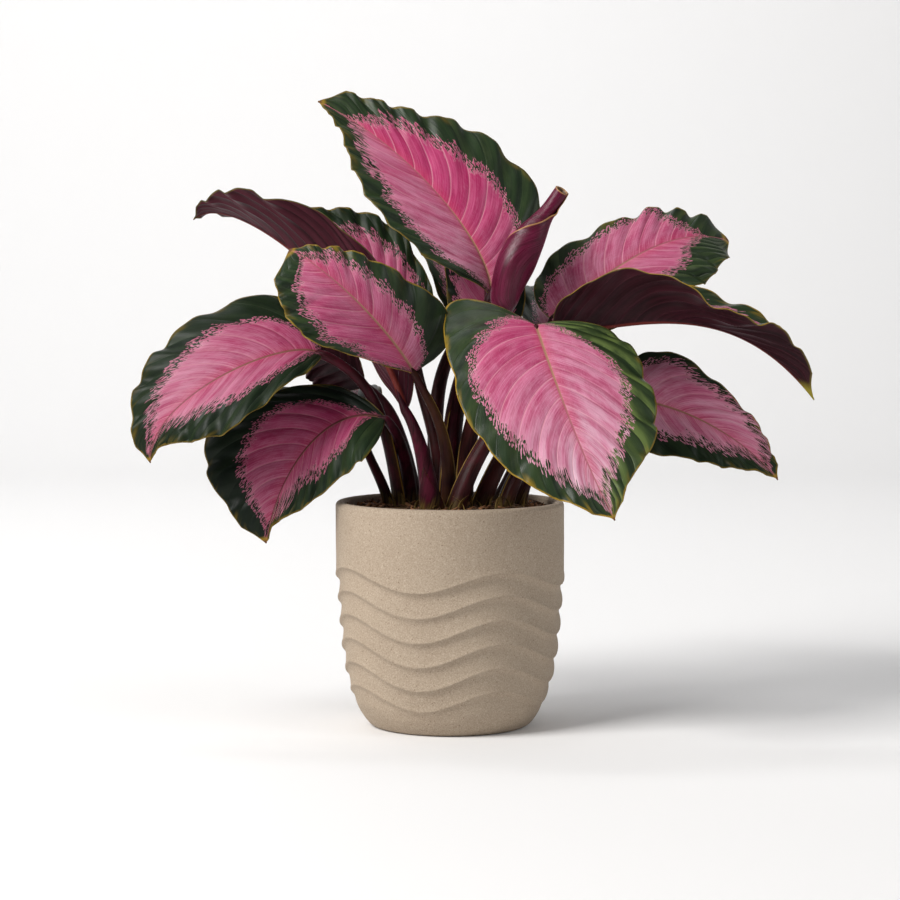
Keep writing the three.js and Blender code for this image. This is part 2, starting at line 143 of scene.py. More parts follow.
def wave_relief(angle, z):
    """Depth pressed into the wall. Every lip is a cosine round the pot, four waves to the turn.
    Below a lip the wall curves in over a fifth of the way to the next lip and then swells out to it,
    more and more steeply; above the top lip it leans in by a fraction and recovers within 14 mm."""
    turn = np.cos(4 * (angle - CREST_ANGLE))[..., None]
    lips = LIP_HEIGHTS + LIP_WAVES * turn
    below = np.concatenate([lips[..., 1:], lips[..., -1:] - 0.012], -1)
    t = (lips - z[..., None]) / (lips - below)
    inside = (t >= 0) & (t < 1)
    t = np.clip(t, 0, 1)
    step = LIP_DEPTHS * (1 - np.exp(-((t / 0.17) ** 1.4))) * (1 - t**1.7)
    above = np.clip((z - lips[..., 0]) / 0.014, 0, 1)
    lip_roll = 0.3e-3 * np.exp(-((z[..., None] - lips - 0.0005) / 0.0012) ** 2).sum(-1)
    lean = 0.5e-3 * (1 - above) ** 2 * (z > lips[..., 0])
    return lip_roll + lean - np.where(inside, step, 0).sum(-1)


def pot_wall(s, angle):
    """The wall's section carried round: up the outside, over the round rim, down the inside to the
    floor. s runs 0 to 1 up the outside, 1 to 1.2 over the rim and 1.2 to 2 down the inside."""
    z_out = np.clip(s, 0, 1) * (POT_HEIGHT - WALL / 2)
    over = np.clip((s - 1) / 0.2, 0, 1) * np.pi
    down = np.clip((s - 1.2) / 0.8, 0, 1)
    z_in = (POT_HEIGHT - WALL / 2) * (1 - down) + POT_FLOOR * down
    z_over = POT_HEIGHT - WALL / 2 + WALL / 2 * np.sin(over)
    z = np.where(s <= 1, z_out, np.where(s <= 1.2, z_over, z_in))
    r_in = np.minimum(RIM - WALL, pot_outline(z_in) - WALL) - INNER_COVE * np.clip(down - 0.93, 0, 1) / 0.07
    r = np.where(s <= 1, pot_outline(z), np.where(s <= 1.2, RIM - WALL / 2 * (1 - np.cos(over)), r_in))
    above_foot = np.clip(z / FOOT_HEIGHT, 0, 1)
    r = r + np.where(s <= 1, wave_relief(angle, z) * above_foot, 0)
    hand = 0.15e-3 * np.sin(3 * angle + 40 * z) * above_foot
    return np.stack([(r + hand) * np.sin(angle), -(r + hand) * np.cos(angle), z], -1)


def layer(tree, kind, wires=None, **options):
    """One step of a finish. wires gives its inputs, each a constant or an earlier step."""
    step = tree.nodes.new("ShaderNode" + kind)
    for option, value in options.items():
        setattr(step, option, value)
    for key, value in (wires or {}).items():
        plug(tree, step.inputs[key], value)
    return step


def plug(tree, socket, value):
    """Sets an input to a constant, or links it to an earlier step."""
    if isinstance(value, bpy.types.Node):
        value = value.outputs[0]
    if isinstance(value, bpy.types.NodeSocket):
        tree.links.new(value, socket)
    else:
        socket.default_value = value


def noise(tree, place, scale, detail, rough=0.5, twist=0.0):
    """Cloudy values about one half, with so many lumps to the unit."""
    wires = {"Vector": place, "Scale": scale, "Detail": detail, "Roughness": rough, "Distortion": twist}
    return layer(tree, "TexNoise", wires).outputs[0]


def ramp(tree, value, low, high, start=0.0, end=1.0, how="LINEAR"):
    """Maps low to start and high to end in a straight line, and holds beyond them."""
    wires = {"Value": value, "From Min": low, "From Max": high, "To Min": start, "To Max": end}
    return layer(tree, "MapRange", wires, interpolation_type=how).outputs[0]


def worked(tree, how, *values):
    """Combines numbers in order by one kind of arithmetic."""
    total = values[0]
    for value in values[1:]:
        total = layer(tree, "Math", {0: total, 1: value}, operation=how).outputs[0]
    return total


def times(tree, *values):
    """The product of numbers."""
    return worked(tree, "MULTIPLY", *values)


def plus(tree, *values):
    """The sum of numbers."""
    return worked(tree, "ADD", *values)


def painted(tree, colour, *coats):
    """Lays coats over a colour in order; each is a share from 0 to 1 and a colour of its own."""
    for share, paint in coats:
        colour = layer(tree, "Mix", {0: share, 6: colour, 7: paint}, data_type="RGBA").outputs[2]
    return colour


def surface(tree, shader, colour, roughness, gloss, height, strength, depth):
    """Gives a finish its colour, roughness and specular level, and a fine relief so many metres deep."""
    relief = layer(tree, "Bump", {"Height": height, "Strength": strength, "Distance": depth})
    plugs = {"Base Color": colour, "Roughness": roughness, "Specular IOR Level": gloss, "Normal": relief}
    for socket, value in plugs.items():
        plug(tree, shader.inputs[socket], value)


# sandy clay: a warm grey beige mottled at two scales, with pale and dark grit under 1 mm
GREY_BEIGE, WARM_BEIGE = (0.355, 0.280, 0.207, 1), (0.385, 0.308, 0.230, 1)
PALE_SAND, DARK_SAND, IRON_SPECK = (0.60, 0.50, 0.40, 1), (0.19, 0.14, 0.095, 1), (0.16, 0.10, 0.06, 1)
SPECK_SHARE = 0.035
stoneware, tree, shader = new_finish("sandy_stoneware")
place = layer(tree, "TexCoord").outputs["Object"]
mottle, sand = noise(tree, place, 40, 4, 0.6), noise(tree, place, 1250, 2, 0.6, 0.5)
grit = layer(tree, "TexVoronoi", {"Vector": place, "Scale": 800, "Randomness": 1.0})
chosen = layer(tree, "SeparateColor", {"Color": grit.outputs["Color"]})
speck = worked(tree, "GREATER_THAN", chosen, 1 - SPECK_SHARE)
speck = times(tree, speck, ramp(tree, grit.outputs["Distance"], 0.45, 0.3, 0, 0.6))
clay = painted(
    tree,
    GREY_BEIGE,
    (ramp(tree, mottle, 0.3, 0.7), WARM_BEIGE),
    (ramp(tree, sand, 0.5, 0.7, 0, 0.45), PALE_SAND),
    (ramp(tree, sand, 0.47, 0.3, 0, 0.5), DARK_SAND),
    (speck, IRON_SPECK),
)
surface(tree, shader, clay, 0.82, 0.3, plus(tree, sand, mottle), 0.45, 0.0004)

s = np.concatenate([np.linspace(0, 1, 330), np.linspace(1, 1.2, 14)[1:], np.linspace(1.2, 2, 30)[1:]])
s, angle = np.meshgrid(s, np.linspace(0, 2 * np.pi, POT_SIDES, endpoint=False), indexing="ij")
wall = pot_wall(s, angle).reshape(-1, 3)
rows = s.shape[0]
faces = sheet_faces(rows, POT_SIDES, closed=True).tolist()
wall = np.concatenate([wall, [[0, 0, 0], [0, 0, POT_FLOOR]]])
under, inside, last = rows * POT_SIDES, rows * POT_SIDES + 1, (rows - 1) * POT_SIDES
faces += [[under, (k + 1) % POT_SIDES, k] for k in range(POT_SIDES)]
faces += [[inside, last + k, last + (k + 1) % POT_SIDES] for k in range(POT_SIDES)]
pot = new_piece("pot_body", wall, faces, [stoneware])
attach(pot, "root")
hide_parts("pot")


# ---------------------------------------------------------------- soil
# Dark potting mix up to 4 mm under the rim: a lumpy bed of peat, with bark chips and short
# fibres lying loose on it, and dry straw-coloured sheath scraps caught round the stems.
SOIL, BED_EDGE, BED_UNDER, BED_RINGS, BED_SIDES = 0.1435, 0.0688, 0.125, 110, 220


def lumps(x, y, size, seed):
    """Uneven height between -1 and 1: fourteen sine waves about one size long, at random bearings."""
    dice = np.random.default_rng(seed)
    bearing = dice.uniform(0, np.pi, 14)
    wave = 2 * np.pi / (size * dice.uniform(0.6, 1.6, 14))
    shift = dice.uniform(0, 2 * np.pi, 14)
    course = x[..., None] * np.cos(bearing) + y[..., None] * np.sin(bearing)
    return np.sin(course * wave + shift).sum(-1) / 6


def soil_height(x, y):
    """Bed height: domed by 1 mm in the middle, lumps of 14, 5 and 2 mm on it."""
    dome = SOIL + 0.001 - 0.0025 * (x**2 + y**2) / 0.069**2
    large, middling, small = lumps(x, y, 0.014, 1), lumps(x, y, 0.005, 2), lumps(x, y, 0.002, 3)
    return dome + 0.0009 * large + 0.0006 * middling + 0.0003 * small


BLACK_PEAT, BROWN_PEAT = (0.012, 0.0065, 0.004, 1), (0.085, 0.046, 0.026, 1)
WET_PEAT = (0.010, 0.006, 0.004, 1)
potting_mix, tree, shader = new_finish("peat")
place = layer(tree, "TexCoord").outputs["Object"]
crumb, damp = noise(tree, place, 420, 5, 0.7), noise(tree, place, 60, 3)
earth = painted(
    tree,
    BLACK_PEAT,
    (ramp(tree, crumb, 0.38, 0.68), BROWN_PEAT),
    (ramp(tree, damp, 0.45, 0.65, 0, 0.5), WET_PEAT),
)
surface(tree, shader, earth, 0.9, 0.5, crumb, 0.9, 0.0012)

around = np.linspace(0, 2 * np.pi, BED_SIDES, endpoint=False)
r, angle = np.meshgrid(np.linspace(0.0004, BED_EDGE, BED_RINGS), around, indexing="ij")
x, y = r * np.cos(angle), r * np.sin(angle)
bed = np.stack([x, y, soil_height(x, y)], -1)
skirt = np.stack([x[-1], y[-1], np.full(BED_SIDES, BED_UNDER)], -1)[None]
bed = np.concatenate([bed, skirt]).reshape(-1, 3)
crown = float(soil_height(np.zeros(1), np.zeros(1))[0])
bed = np.concatenate([bed, [[0, 0, crown], [0, 0, BED_UNDER]]])
faces = sheet_faces(BED_RINGS + 1, BED_SIDES, closed=True)[:, ::-1].tolist()
top, bottom, last = (BED_RINGS + 1) * BED_SIDES, (BED_RINGS + 1) * BED_SIDES + 1, BED_RINGS * BED_SIDES
faces += [[top, k, (k + 1) % BED_SIDES] for k in range(BED_SIDES)]
faces += [[bottom, last + (k + 1) % BED_SIDES, last + k] for k in range(BED_SIDES)]
soil = new_piece("soil_bed", bed, faces, [potting_mix])
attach(soil, "root")
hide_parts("soil")


def closed_skins(rings):
    """Many closed skins in one mesh. rings is (skins, stations, sides, 3): each skin's stations are
    joined by quads and its two ends are closed by fans about their middle points."""
    skins, rows, sides = rings.shape[:3]
    points = np.concatenate([rings.reshape(skins, -1, 3), rings[:, [0, -1]].mean(2)], 1).reshape(-1, 3)
    k, top = np.arange(sides), (rows - 1) * sides
    after = (k + 1) % sides
    first = np.stack([k * 0 + rows * sides, after, k], -1)
    last = np.stack([k * 0 + rows * sides + 1, top + k, top + after], -1)
    fans = np.concatenate([first, last])
    start = np.arange(skins)[:, None, None] * (rows * sides + 2)
    quads = (sheet_faces(rows, sides, closed=True) + start).reshape(-1, 4)
    return points, quads.tolist() + (fans + start).reshape(-1, 3).tolist()


def scattered(count, reach, seed):
    """Random places on the bed within a reach of the middle, even over the area, and a bearing each."""
    dice = np.random.default_rng(seed)
    r, angle = reach * np.sqrt(dice.uniform(0.02, 1, count)), dice.uniform(0, 2 * np.pi, count)
    x, y = r * np.sin(angle), -r * np.cos(angle)
    return np.stack([x, y, soil_height(x, y)], -1), dice.uniform(0, 2 * np.pi, count), dice


def bark_chips(count):
    """Split chips: a squared oval section carried along a short bent axis, full in the middle and
    blunt at both ends; 4 to 11 mm long, a third to a half as wide, tipped up to 30 degrees."""
    place, bearing, dice = scattered(count, 0.0655, 21)
    length, tip = dice.uniform(0.004, 0.011, count), dice.uniform(-0.5, 0.5, count)
    wide, thick = length * dice.uniform(0.16, 0.26, count), dice.uniform(0.0005, 0.0011, count)
    run = np.stack([np.cos(bearing) * np.cos(tip), np.sin(bearing) * np.cos(tip), np.sin(tip)], -1)
    side = np.stack([-np.sin(bearing), np.cos(bearing), dice.uniform(-0.3, 0.3, count)], -1)
    side /= np.linalg.norm(side, axis=-1, keepdims=True)
    rise = np.cross(run, side)
    t = np.array([0.0, 0.22, 0.5, 0.8, 1.0])
    swell = np.array([0.5, 0.95, 1.0, 0.9, 0.4]) * dice.uniform(0.8, 1.2, (count, 5))
    turn = np.linspace(0, 2 * np.pi, 8, endpoint=False)
    flat = np.sign(np.cos(turn)) * np.abs(np.cos(turn)) ** 0.7
    deep = np.sign(np.sin(turn)) * np.abs(np.sin(turn)) ** 0.7
    bow = dice.uniform(-0.12, 0.2, count)[:, None] * length[:, None] * (2 * t - 1) ** 2
    axis = place[:, None] + run[:, None] * ((t - 0.5) * length[:, None])[..., None]
    axis = axis + rise[:, None] * bow[..., None]
    axis[..., 2] += 0.0009
    across = side[:, None, None] * (wide[:, None] * swell)[..., None, None] * flat[:, None]
    up = rise[:, None, None] * (thick[:, None] * swell)[..., None, None] * deep[:, None]
    return axis[:, :, None] + across + up


def fibres(count):
    """Coarse fibres: a thin round section along a shallow arc that lies on the bed, 8 to 20 mm long."""
    place, bearing, dice = scattered(count, 0.062, 22)
    length, bend = dice.uniform(0.008, 0.020, count), dice.uniform(-0.25, 0.25, count)
    thick, lift = dice.uniform(0.00018, 0.0004, count), dice.uniform(-0.04, 0.12, count)
    t = np.linspace(-0.5, 0.5, 7)
    run = np.stack([np.cos(bearing), np.sin(bearing), lift], -1)
    side = np.stack([-np.sin(bearing), np.cos(bearing), 0 * lift], -1)
    course = run[:, None] * t[:, None] + side[:, None] * (bend[:, None] * t**2 * 4)[..., None]
    axis = place[:, None] + course * length[:, None, None]
    axis[..., 2] += 0.0012
    turn = np.linspace(0, 2 * np.pi, 5, endpoint=False)
    size = thick[:, None] * (1 - 0.8 * np.abs(2 * t) ** 3)
    across = side[:, None, None] * size[..., None, None] * np.cos(turn)[:, None]
    return axis[:, :, None] + across + np.array([0, 0, 1.0]) * (size[..., None] * np.sin(turn))[..., None]


def sheath_scraps(feet, seed):
    """Dry pointed scraps: a thin hollow section, widest a third of the way up and closing to a point,
    along an axis that leaves the stem's foot upwards and curls outwards; 7 to 15 mm long."""
    dice = np.random.default_rng(seed)
    count = len(feet)
    bearing = dice.uniform(-1.9, 1.9, count)
    out = np.stack([np.sin(bearing), -np.cos(bearing), 0 * bearing], -1)
    side = np.stack([np.cos(bearing), np.sin(bearing), 0 * bearing], -1)
    length, flare = dice.uniform(0.007, 0.015, count), dice.uniform(0.2, 0.8, count)
    t = np.linspace(0, 1, 9)
    rise = np.array([0, 0, 1.0]) * (t * (1 - 0.2 * t))[:, None]
    axis = feet[:, None] + length[:, None, None] * (rise + out[:, None] * (flare[:, None] * t**2)[..., None])
    wide = dice.uniform(0.0011, 0.0021, count)[:, None] * ((1 - t) ** 0.8 * (0.75 + 0.9 * t) + 0.02)
    turn = np.linspace(0, 2 * np.pi, 10, endpoint=False)
    hollow = 0.35 * np.cos(turn) ** 2
    across = side[:, None, None] * wide[..., None, None] * np.cos(turn)[:, None]
    depth = out[:, None, None] * (wide[..., None] * (0.12 * np.sin(turn) - hollow))[..., None]
    return axis[:, :, None] + across + depth


def loose_piece(name, rings, finish, seed):
    """One mesh of many small skins; each skin carries one random tint for the finish to read."""
    points, faces = closed_skins(rings)
    piece = new_piece(name, points, faces, [finish])
    tint = np.random.default_rng(seed).uniform(0, 1, len(rings)).repeat(len(points) // len(rings))
    piece.data.attributes.new("tint", "FLOAT", "POINT").data.foreach_set("value", tint.astype(np.float32))
    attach(piece, "root")
    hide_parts("soil")


def mark(tree, name, kind="Fac"):
    """Reads a mark that the piece carries at its points: a number, or a vector."""
    return layer(tree, "Attribute", attribute_name=name).outputs[kind]


def litter_finish(name, dark, light, grain):
    """A dull split surface: each bit has its own shade between two colours, with darker grain."""
    finish, tree, shader = new_finish(name)
    speckle = noise(tree, layer(tree, "TexCoord").outputs["Object"], grain, 4, 0.7)
    shade = plus(tree, worked(tree, "POWER", mark(tree, "tint"), 2.0), speckle)
    tone = painted(tree, dark, (ramp(tree, shade, 0.4, 1.35), light))
    surface(tree, shader, tone, 0.85, 0.25, speckle, 0.8, 0.0005)
    return finish


split_bark = litter_finish("split_bark", (0.030, 0.013, 0.007, 1), (0.36, 0.165, 0.07, 1), 900)
dry_fibre = litter_finish("dry_fibre", (0.045, 0.022, 0.012, 1), (0.22, 0.13, 0.06, 1), 1400)
dry_sheath = litter_finish("dry_sheath", (0.095, 0.058, 0.016, 1), (0.36, 0.24, 0.07, 1), 700)
loose_piece("bark_chips", bark_chips(430), split_bark, 31)
loose_piece("soil_fibres", fibres(170), dry_fibre, 32)
FEET = np.array([
    (-11, -44), (-17, -41), (-6, -42), (-3, -25), (6, -39), (-2, -40), (9, -36),
    (20, -25), (26, -22), (14, -24), (-30, -15), (-36, -12), (-25, -14), (33, -20),
    (39, -16), (-39, 3), (48, -3), (-22, -30), (30, -30), (0, -46),
]) / 1000
feet = np.column_stack([FEET, np.full(len(FEET), SOIL)])
loose_piece("sheath_scraps", sheath_scraps(feet, 23), dry_sheath, 33)


# ---------------------------------------------------------------- blades
# Fifteen open leaf blades, each a thin skin that hangs from one midrib. Side veins leave
# the midrib at a slant and run to the margin; the skin is pleated between them and wavy at
# its edge. Above: pink heart, dark green border, thin ochre edge. Below: dark maroon.
#
# rib: four points on the midrib, mm. face: which way the upper face looks, at even stations along it.
# Then left of the midrib and right of it: half, the half widths in mm at even stations; lobe, how far the
# base reaches back; round, how soon it is full; fold and curl, degrees; lean, how far the side veins run
# on; heart, the reach of the pink in percent; pale, how faded the pink is and how strong the painted sheen
# across each panel of the underside is; lime, how strong the painted highlight of light green is; gilt, how
# gilded it is.
# ripple is the height of the margin's waves in mm and waves their number; deep is how strongly painted
# shade darkens a leaf that hangs low or hidden. What a leaf doesn't name has the usual value, which stands
# where it is read.
BLADES = {
    "top": {
        "rib": [(27, 8, 283), (11, 16, 324), (-31, 30, 372), (-88, 42, 411)],
        "face": [(0.1, -1, 0.45), (-0.1, -1, 0.6)],
        "half": ([8, 43, 51, 37, 14, 3], [10, 57, 58, 33, 20, 13]), "lobe": (0, 0.05), "ripple": 2.3,
        "waves": 8, "lean": (0.19, 0.14), "fold": ([33, 33, 25], [5, 5, 5]),
        "curl": ([-20, -10], [-25, -30]),
        "pale": ([0.55, 0.45, 0.3, 0.3, 0.35], [0.45, 0.12, 0.02, 0.05, 0.2]),
        "heart": ([20, 36, 65, 69, 73, 69, 69, 66, 36, -35, -80],
                  [30, 42, 51, 56, 58, 60, 65, 60, 40, -20, -70]),
    },
    "front": {
        "rib": [(55, -32, 264), (64, -64, 236), (80, -100, 192), (101, -122, 146)],
        "face": [(0.1, -0.8, 0.7), (0.1, -1, 0.35)],
        "half": ([41, 59, 58.5, 45, 18, 4], [53, 61, 62.5, 46, 20, 3]), "lobe": (0.06, 0.46),
        "round": (0.12, 0.1), "lean": (0.24, 0.25), "fold": ([8, 8], [8, 8]),
        "curl": ([-25, -25], [-25, -15]),
        "pale": ([0.2, 0.35, 0.6, 1.0, 1.25], [0.05, 0.15, 0.4, 1.0, 1.35]), "lime_highlight": (1.2, 0.25),
        "gilt": (0.6, 1.0),
        "heart": ([25, 30, 50, 66, 70, 66, 60, 52, 38, -2, -60],
                  [35, 45, 65, 79, 76, 73, 68, 60, 46, 0, -60]),
    },
    "mid_left": {
        "rib": [(-23, -31, 233), (-43, -54, 262), (-71, -68, 291), (-101, -64, 312)],
        "face": [(0, -1, 0.6), (0, -1, 0.6)], "half": ([4, 24, 41, 41, 31, 18], [52, 42, 31, 22, 12, 6]),
        "lobe": (0, 0.14), "round": (0.15, 0.1), "lean": (0.3, 0.1), "fold": ([8, 8], [8, 8, -5]),
        "curl": ([-15, -15], [-15, -30]),
        "pale": ([0.15, 0.1, 0.15, 0.25, 0.35], [0.3, 0.22, 0.18, 0.18, 0.15]), "gilt": (0.7, 0.7),
        "heart": ([50, 64, 89, 67, 75, 69, 69, 62, 53, 0, -60],
                  [20, 34, 44, 54, 58, 64, 66, 62, 45, 0, -60]),
    },
    "far_left": {
        "rib": [(-84, -18, 245), (-122, -30, 242), (-170, -38, 215), (-193, -34, 175)],
        "face": [(0, -0.9, 0.9), (-0.2, -1, 0.6)],
        "half": ([18, 37, 45, 30, 8.5, 1], [42, 57, 51, 36, 18, 4]), "lobe": (0, 0.05),
        "round": (0.12, 0.12), "lean": (0.28, 0.19), "fold": ([25, 10], [8, 8]),
        "curl": ([-15, -15], [-25, -25]), "pale": [0.15, 0.25, 0.4, 0.45, 0.45], "deep": 0.75,
        "heart": ([-5, 20, 46, 50, 54, 51, 48, 43, -2, -30, -60],
                  [0, 26, 49, 60, 64, 61, 58, 50, 40, 5, -50]),
    },
    "low_left": {
        "rib": [(-42, -19, 203), (-80, -17, 196), (-107, -16, 162), (-120, -14, 121)],
        "face": [(0, -0.8, 0.9), (-0.2, -1, 0.6)],
        "half": ([44, 42, 33, 20.5, 4, 1], [4, 36, 65, 56, 28, 9]), "lobe": (0.06, 0),
        "round": (0.08, 0.12), "ripple": 1.5, "lean": (0.2, 0.22), "fold": ([12, 8], [13, 14]),
        "curl": ([-15, -15], [-18, -18]), "pale": [0.05, 0.1, 0.2, 0.3, 0.4], "deep": (0.45, 1.15),
        "heart": ([-30, 5, 44, 56, 58, 54, 46, 38, -2, -30, -60],
                  [-30, 0, 30, 48, 54, 56, 58, 54, 42, 5, -50]),
    },
    "back_left": {
        "rib": [(-24, 38, 254), (-43, 48, 286), (-70, 56, 314), (-108, 60, 333)],
        "face": [(0, -1, 0.6), (0, -1, 0.6)], "half": ([26, 32, 34, 26, 16, 8], [20, 29, 35, 27, 16, 10]),
        "pale": [0.15, 0.2, 0.25], "deep": 0.5,
        "heart": ([30, 45, 54, 60, 60, 58, 56, 50, 40, 0, -50],
                  [50, 60, 64, 62, 58, 56, 54, 46, 30, -10, -50]),
    },
    "arching_left": {
        "rib": [(-29, -34, 209), (-68, -8, 278), (-126, 10, 327), (-169, 16, 332)],
        "face": [(0.3, 1, 0.6), (0.1, 0.9, 0.7), (0, 0.5, 1), (0, 0.5, 1)],
        "half": ([12, 32, 41, 38, 18, 3], [8, 31, 46.5, 42, 14, 2]), "lobe": (0, 0),
        "fold": ([46, 20, 0, 0], [20, 35, 25, 20]), "curl": ([10, 10], [10, 10]), "pale": [1.0, 1.0],
        "gilt": (0.1, 0.1),
    },
    "arching_right": {
        "rib": [(70, -4, 259), (124, -12, 265), (180, -20, 259), (236, -20, 215)],
        "face": [(0, 0, 1), (0, 0, 1)], "half": ([28, 40, 39, 32, 19, 4], [32, 45, 45, 36, 19.5, 4]),
        "lobe": (0.1, 0.1), "fold": ([-10, 5, 20, 30, 28, 42, 45], [50, 42, 50, 30, 15, 35, 60]),
        "curl": ([10, 10], [0, 10]), "gilt": (0.9, 0.9),
    },
    "back_right": {
        "rib": [(67, 44, 267), (103, 54, 294), (145, 68, 317), (192, 99, 319)],
        "face": [(0, -1, 0.8), (0, -1, 0.8)],
        "half": ([28, 37, 32, 29.5, 20, 20], [30, 40, 44, 41, 26, 14]), "lobe": (0.08, 0.08), "ripple": 3.0,
        "lean": (0.05, 0.35), "pale": [0.3, 0.25, 0.12], "lime_highlight": (0.4, 0.4), "deep": 0.2,
        "heart": ([40, 57, 63, 75, 84, 90, 88, 57, 30, -20, -50],
                  [40, 55, 60, 65, 66, 56, 52, 36, 11, -20, -50]),
    },
    "low_right": {
        "rib": [(117, 20, 213), (149, 15, 207), (185, 10, 189), (216, 5, 161)],
        "face": [(0.2, -1, 0.6), (0.2, -1, 0.6)],
        "half": ([40, 41, 28, 19.5, 10, 4], [26, 38, 31, 22, 9, 1]), "lobe": (0.08, 0.08), "ripple": 1.5,
        "lean": (0.2, 0.25), "pale": [0.5, 0.6, 0.7], "deep": 0.6,
        "heart": ([50, 73, 79, 77, 81, 83, 79, 77, 56, -10, -50],
                  [30, 45, 51, 58, 53, 53, 53, 34, 4, -20, -50]),
    },
    "behind": {
        "rib": [(25, 45, 249), (24, 55, 279), (23, 62, 319), (19, 66, 353)],
        "face": [(0, -1, 0.3), (0, -1, 0.3)], "half": ([14, 25, 27, 20, 14, 4], [14, 26, 28, 22, 14, 4]),
        "deep": 1.2,
    },
    "inner_left": {
        "rib": [(-57, 27, 222), (-70, 33, 234), (-88, 38, 246), (-108, 42, 252)],
        "face": [(0.1, 1, 0.35), (0.1, 1, 0.5)], "half": ([3, 12, 22, 22, 14, 4], [6, 21, 32, 31, 20, 5]),
        "lobe": (0, 0), "ripple": 0.9, "fold": ([15, 15], [15, 15]), "curl": ([10, 10], [10, 10]),
    },
    "rear_left": {
        "rib": [(-57, 34, 198), (-80, 74, 216), (-102, 114, 208), (-119, 146, 176)],
        "face": [(-0.1, -0.3, 1), (-0.1, 0.2, 1), (-0.2, 0.7, 0.7)],
        "half": ([24, 36, 38, 30, 16, 4], [20, 30, 36, 30, 16, 4]), "fold": ([12, 12], [12, 12]),
        "curl": ([-20, -20], [-20, -20]), "pale": [0.1, 0.2, 0.3], "deep": 1.3,
        "heart": ([0, 10, 25, 40, 48, 50, 48, 40, 20, -10, -50],
                  [0, 10, 25, 40, 48, 50, 48, 40, 20, -10, -50]),
    },
    "rear_high": {
        "rib": [(12, 66, 260), (10, 94, 304), (5, 136, 322), (-3, 176, 300)],
        "face": [(0, -0.8, 0.6), (0, -0.3, 0.95), (0, 0.5, 0.85)],
        "half": ([16, 26, 36, 32, 18, 4], [16, 26, 36, 32, 18, 4]), "fold": ([14, 14], [14, 14]),
        "curl": ([-15, -15], [-15, -15]),
    },
    "rear_right": {
        "rib": [(64, 64, 256), (86, 100, 284), (106, 138, 287), (122, 170, 264)],
        "face": [(-0.1, -0.4, 1), (0, 0, 1), (0.3, 0.5, 0.8)],
        "half": ([24, 36, 38, 30, 16, 4], [24, 36, 38, 30, 16, 4]), "fold": ([14, 14], [14, 14]),
        "curl": ([-20, -20], [-20, -20]), "pale": [0.35, 0.45, 0.6],
    },
}
USUAL_HEART = [30, 45, 60, 70, 70, 68, 66, 62, 50, 10, -50]
# gap between side veins, thickness and height of the pleats, mm
VEIN_GAP, SKIN, PLEAT = 13.0, 0.45, 0.85
STATIONS, COLUMNS = 181, 97


def unit(v):
    """The same directions at length one."""
    return v / np.linalg.norm(v, axis=-1, keepdims=True)


def through(points):
    """Control points of the cubic that passes through four points, a third of its run apart."""
    a, b, c, d = np.asarray(points, float)
    return np.array([a, (-5 * a + 18 * b - 9 * c + 2 * d) / 6, (2 * a - 9 * b + 18 * c - 5 * d) / 6, d])


def cubic(p, t):
    """A cubic's place and its unit direction at t."""
    t = np.asarray(t, float)[..., None]
    place = (1 - t) ** 3 * p[0] + 3 * (1 - t) ** 2 * t * p[1] + 3 * (1 - t) * t**2 * p[2] + t**3 * p[3]
    course = (1 - t) ** 2 * (p[1] - p[0]) + 2 * (1 - t) * t * (p[2] - p[1]) + t**2 * (p[3] - p[2])
    return place, unit(course)


def along(stations, t):
    """Values given at even stations, eased from one to the next so that the slope runs on."""
    v = np.asarray(stations, float)
    v = np.concatenate([[2 * v[0] - v[1]], v, [2 * v[-1] - v[-2]]])
    x = np.clip(t, 0, 1) * (len(v) - 3)
    i = np.minimum(x.astype(int), len(v) - 4)
    f = (x - i)[..., None] if v.ndim == 2 else x - i
    a, b, c, d = v[i], v[i + 1], v[i + 2], v[i + 3]
    return b + 0.5 * f * (c - a + f * (2 * a - 5 * b + 4 * c - d + f * (3 * (b - c) + d - a)))


def both(leaf, key, usual, right):
    """The left or right value of a pair, or the usual one where the leaf names none."""
    pair = leaf.get(key, usual)
    return np.where(right, pair[1], pair[0])


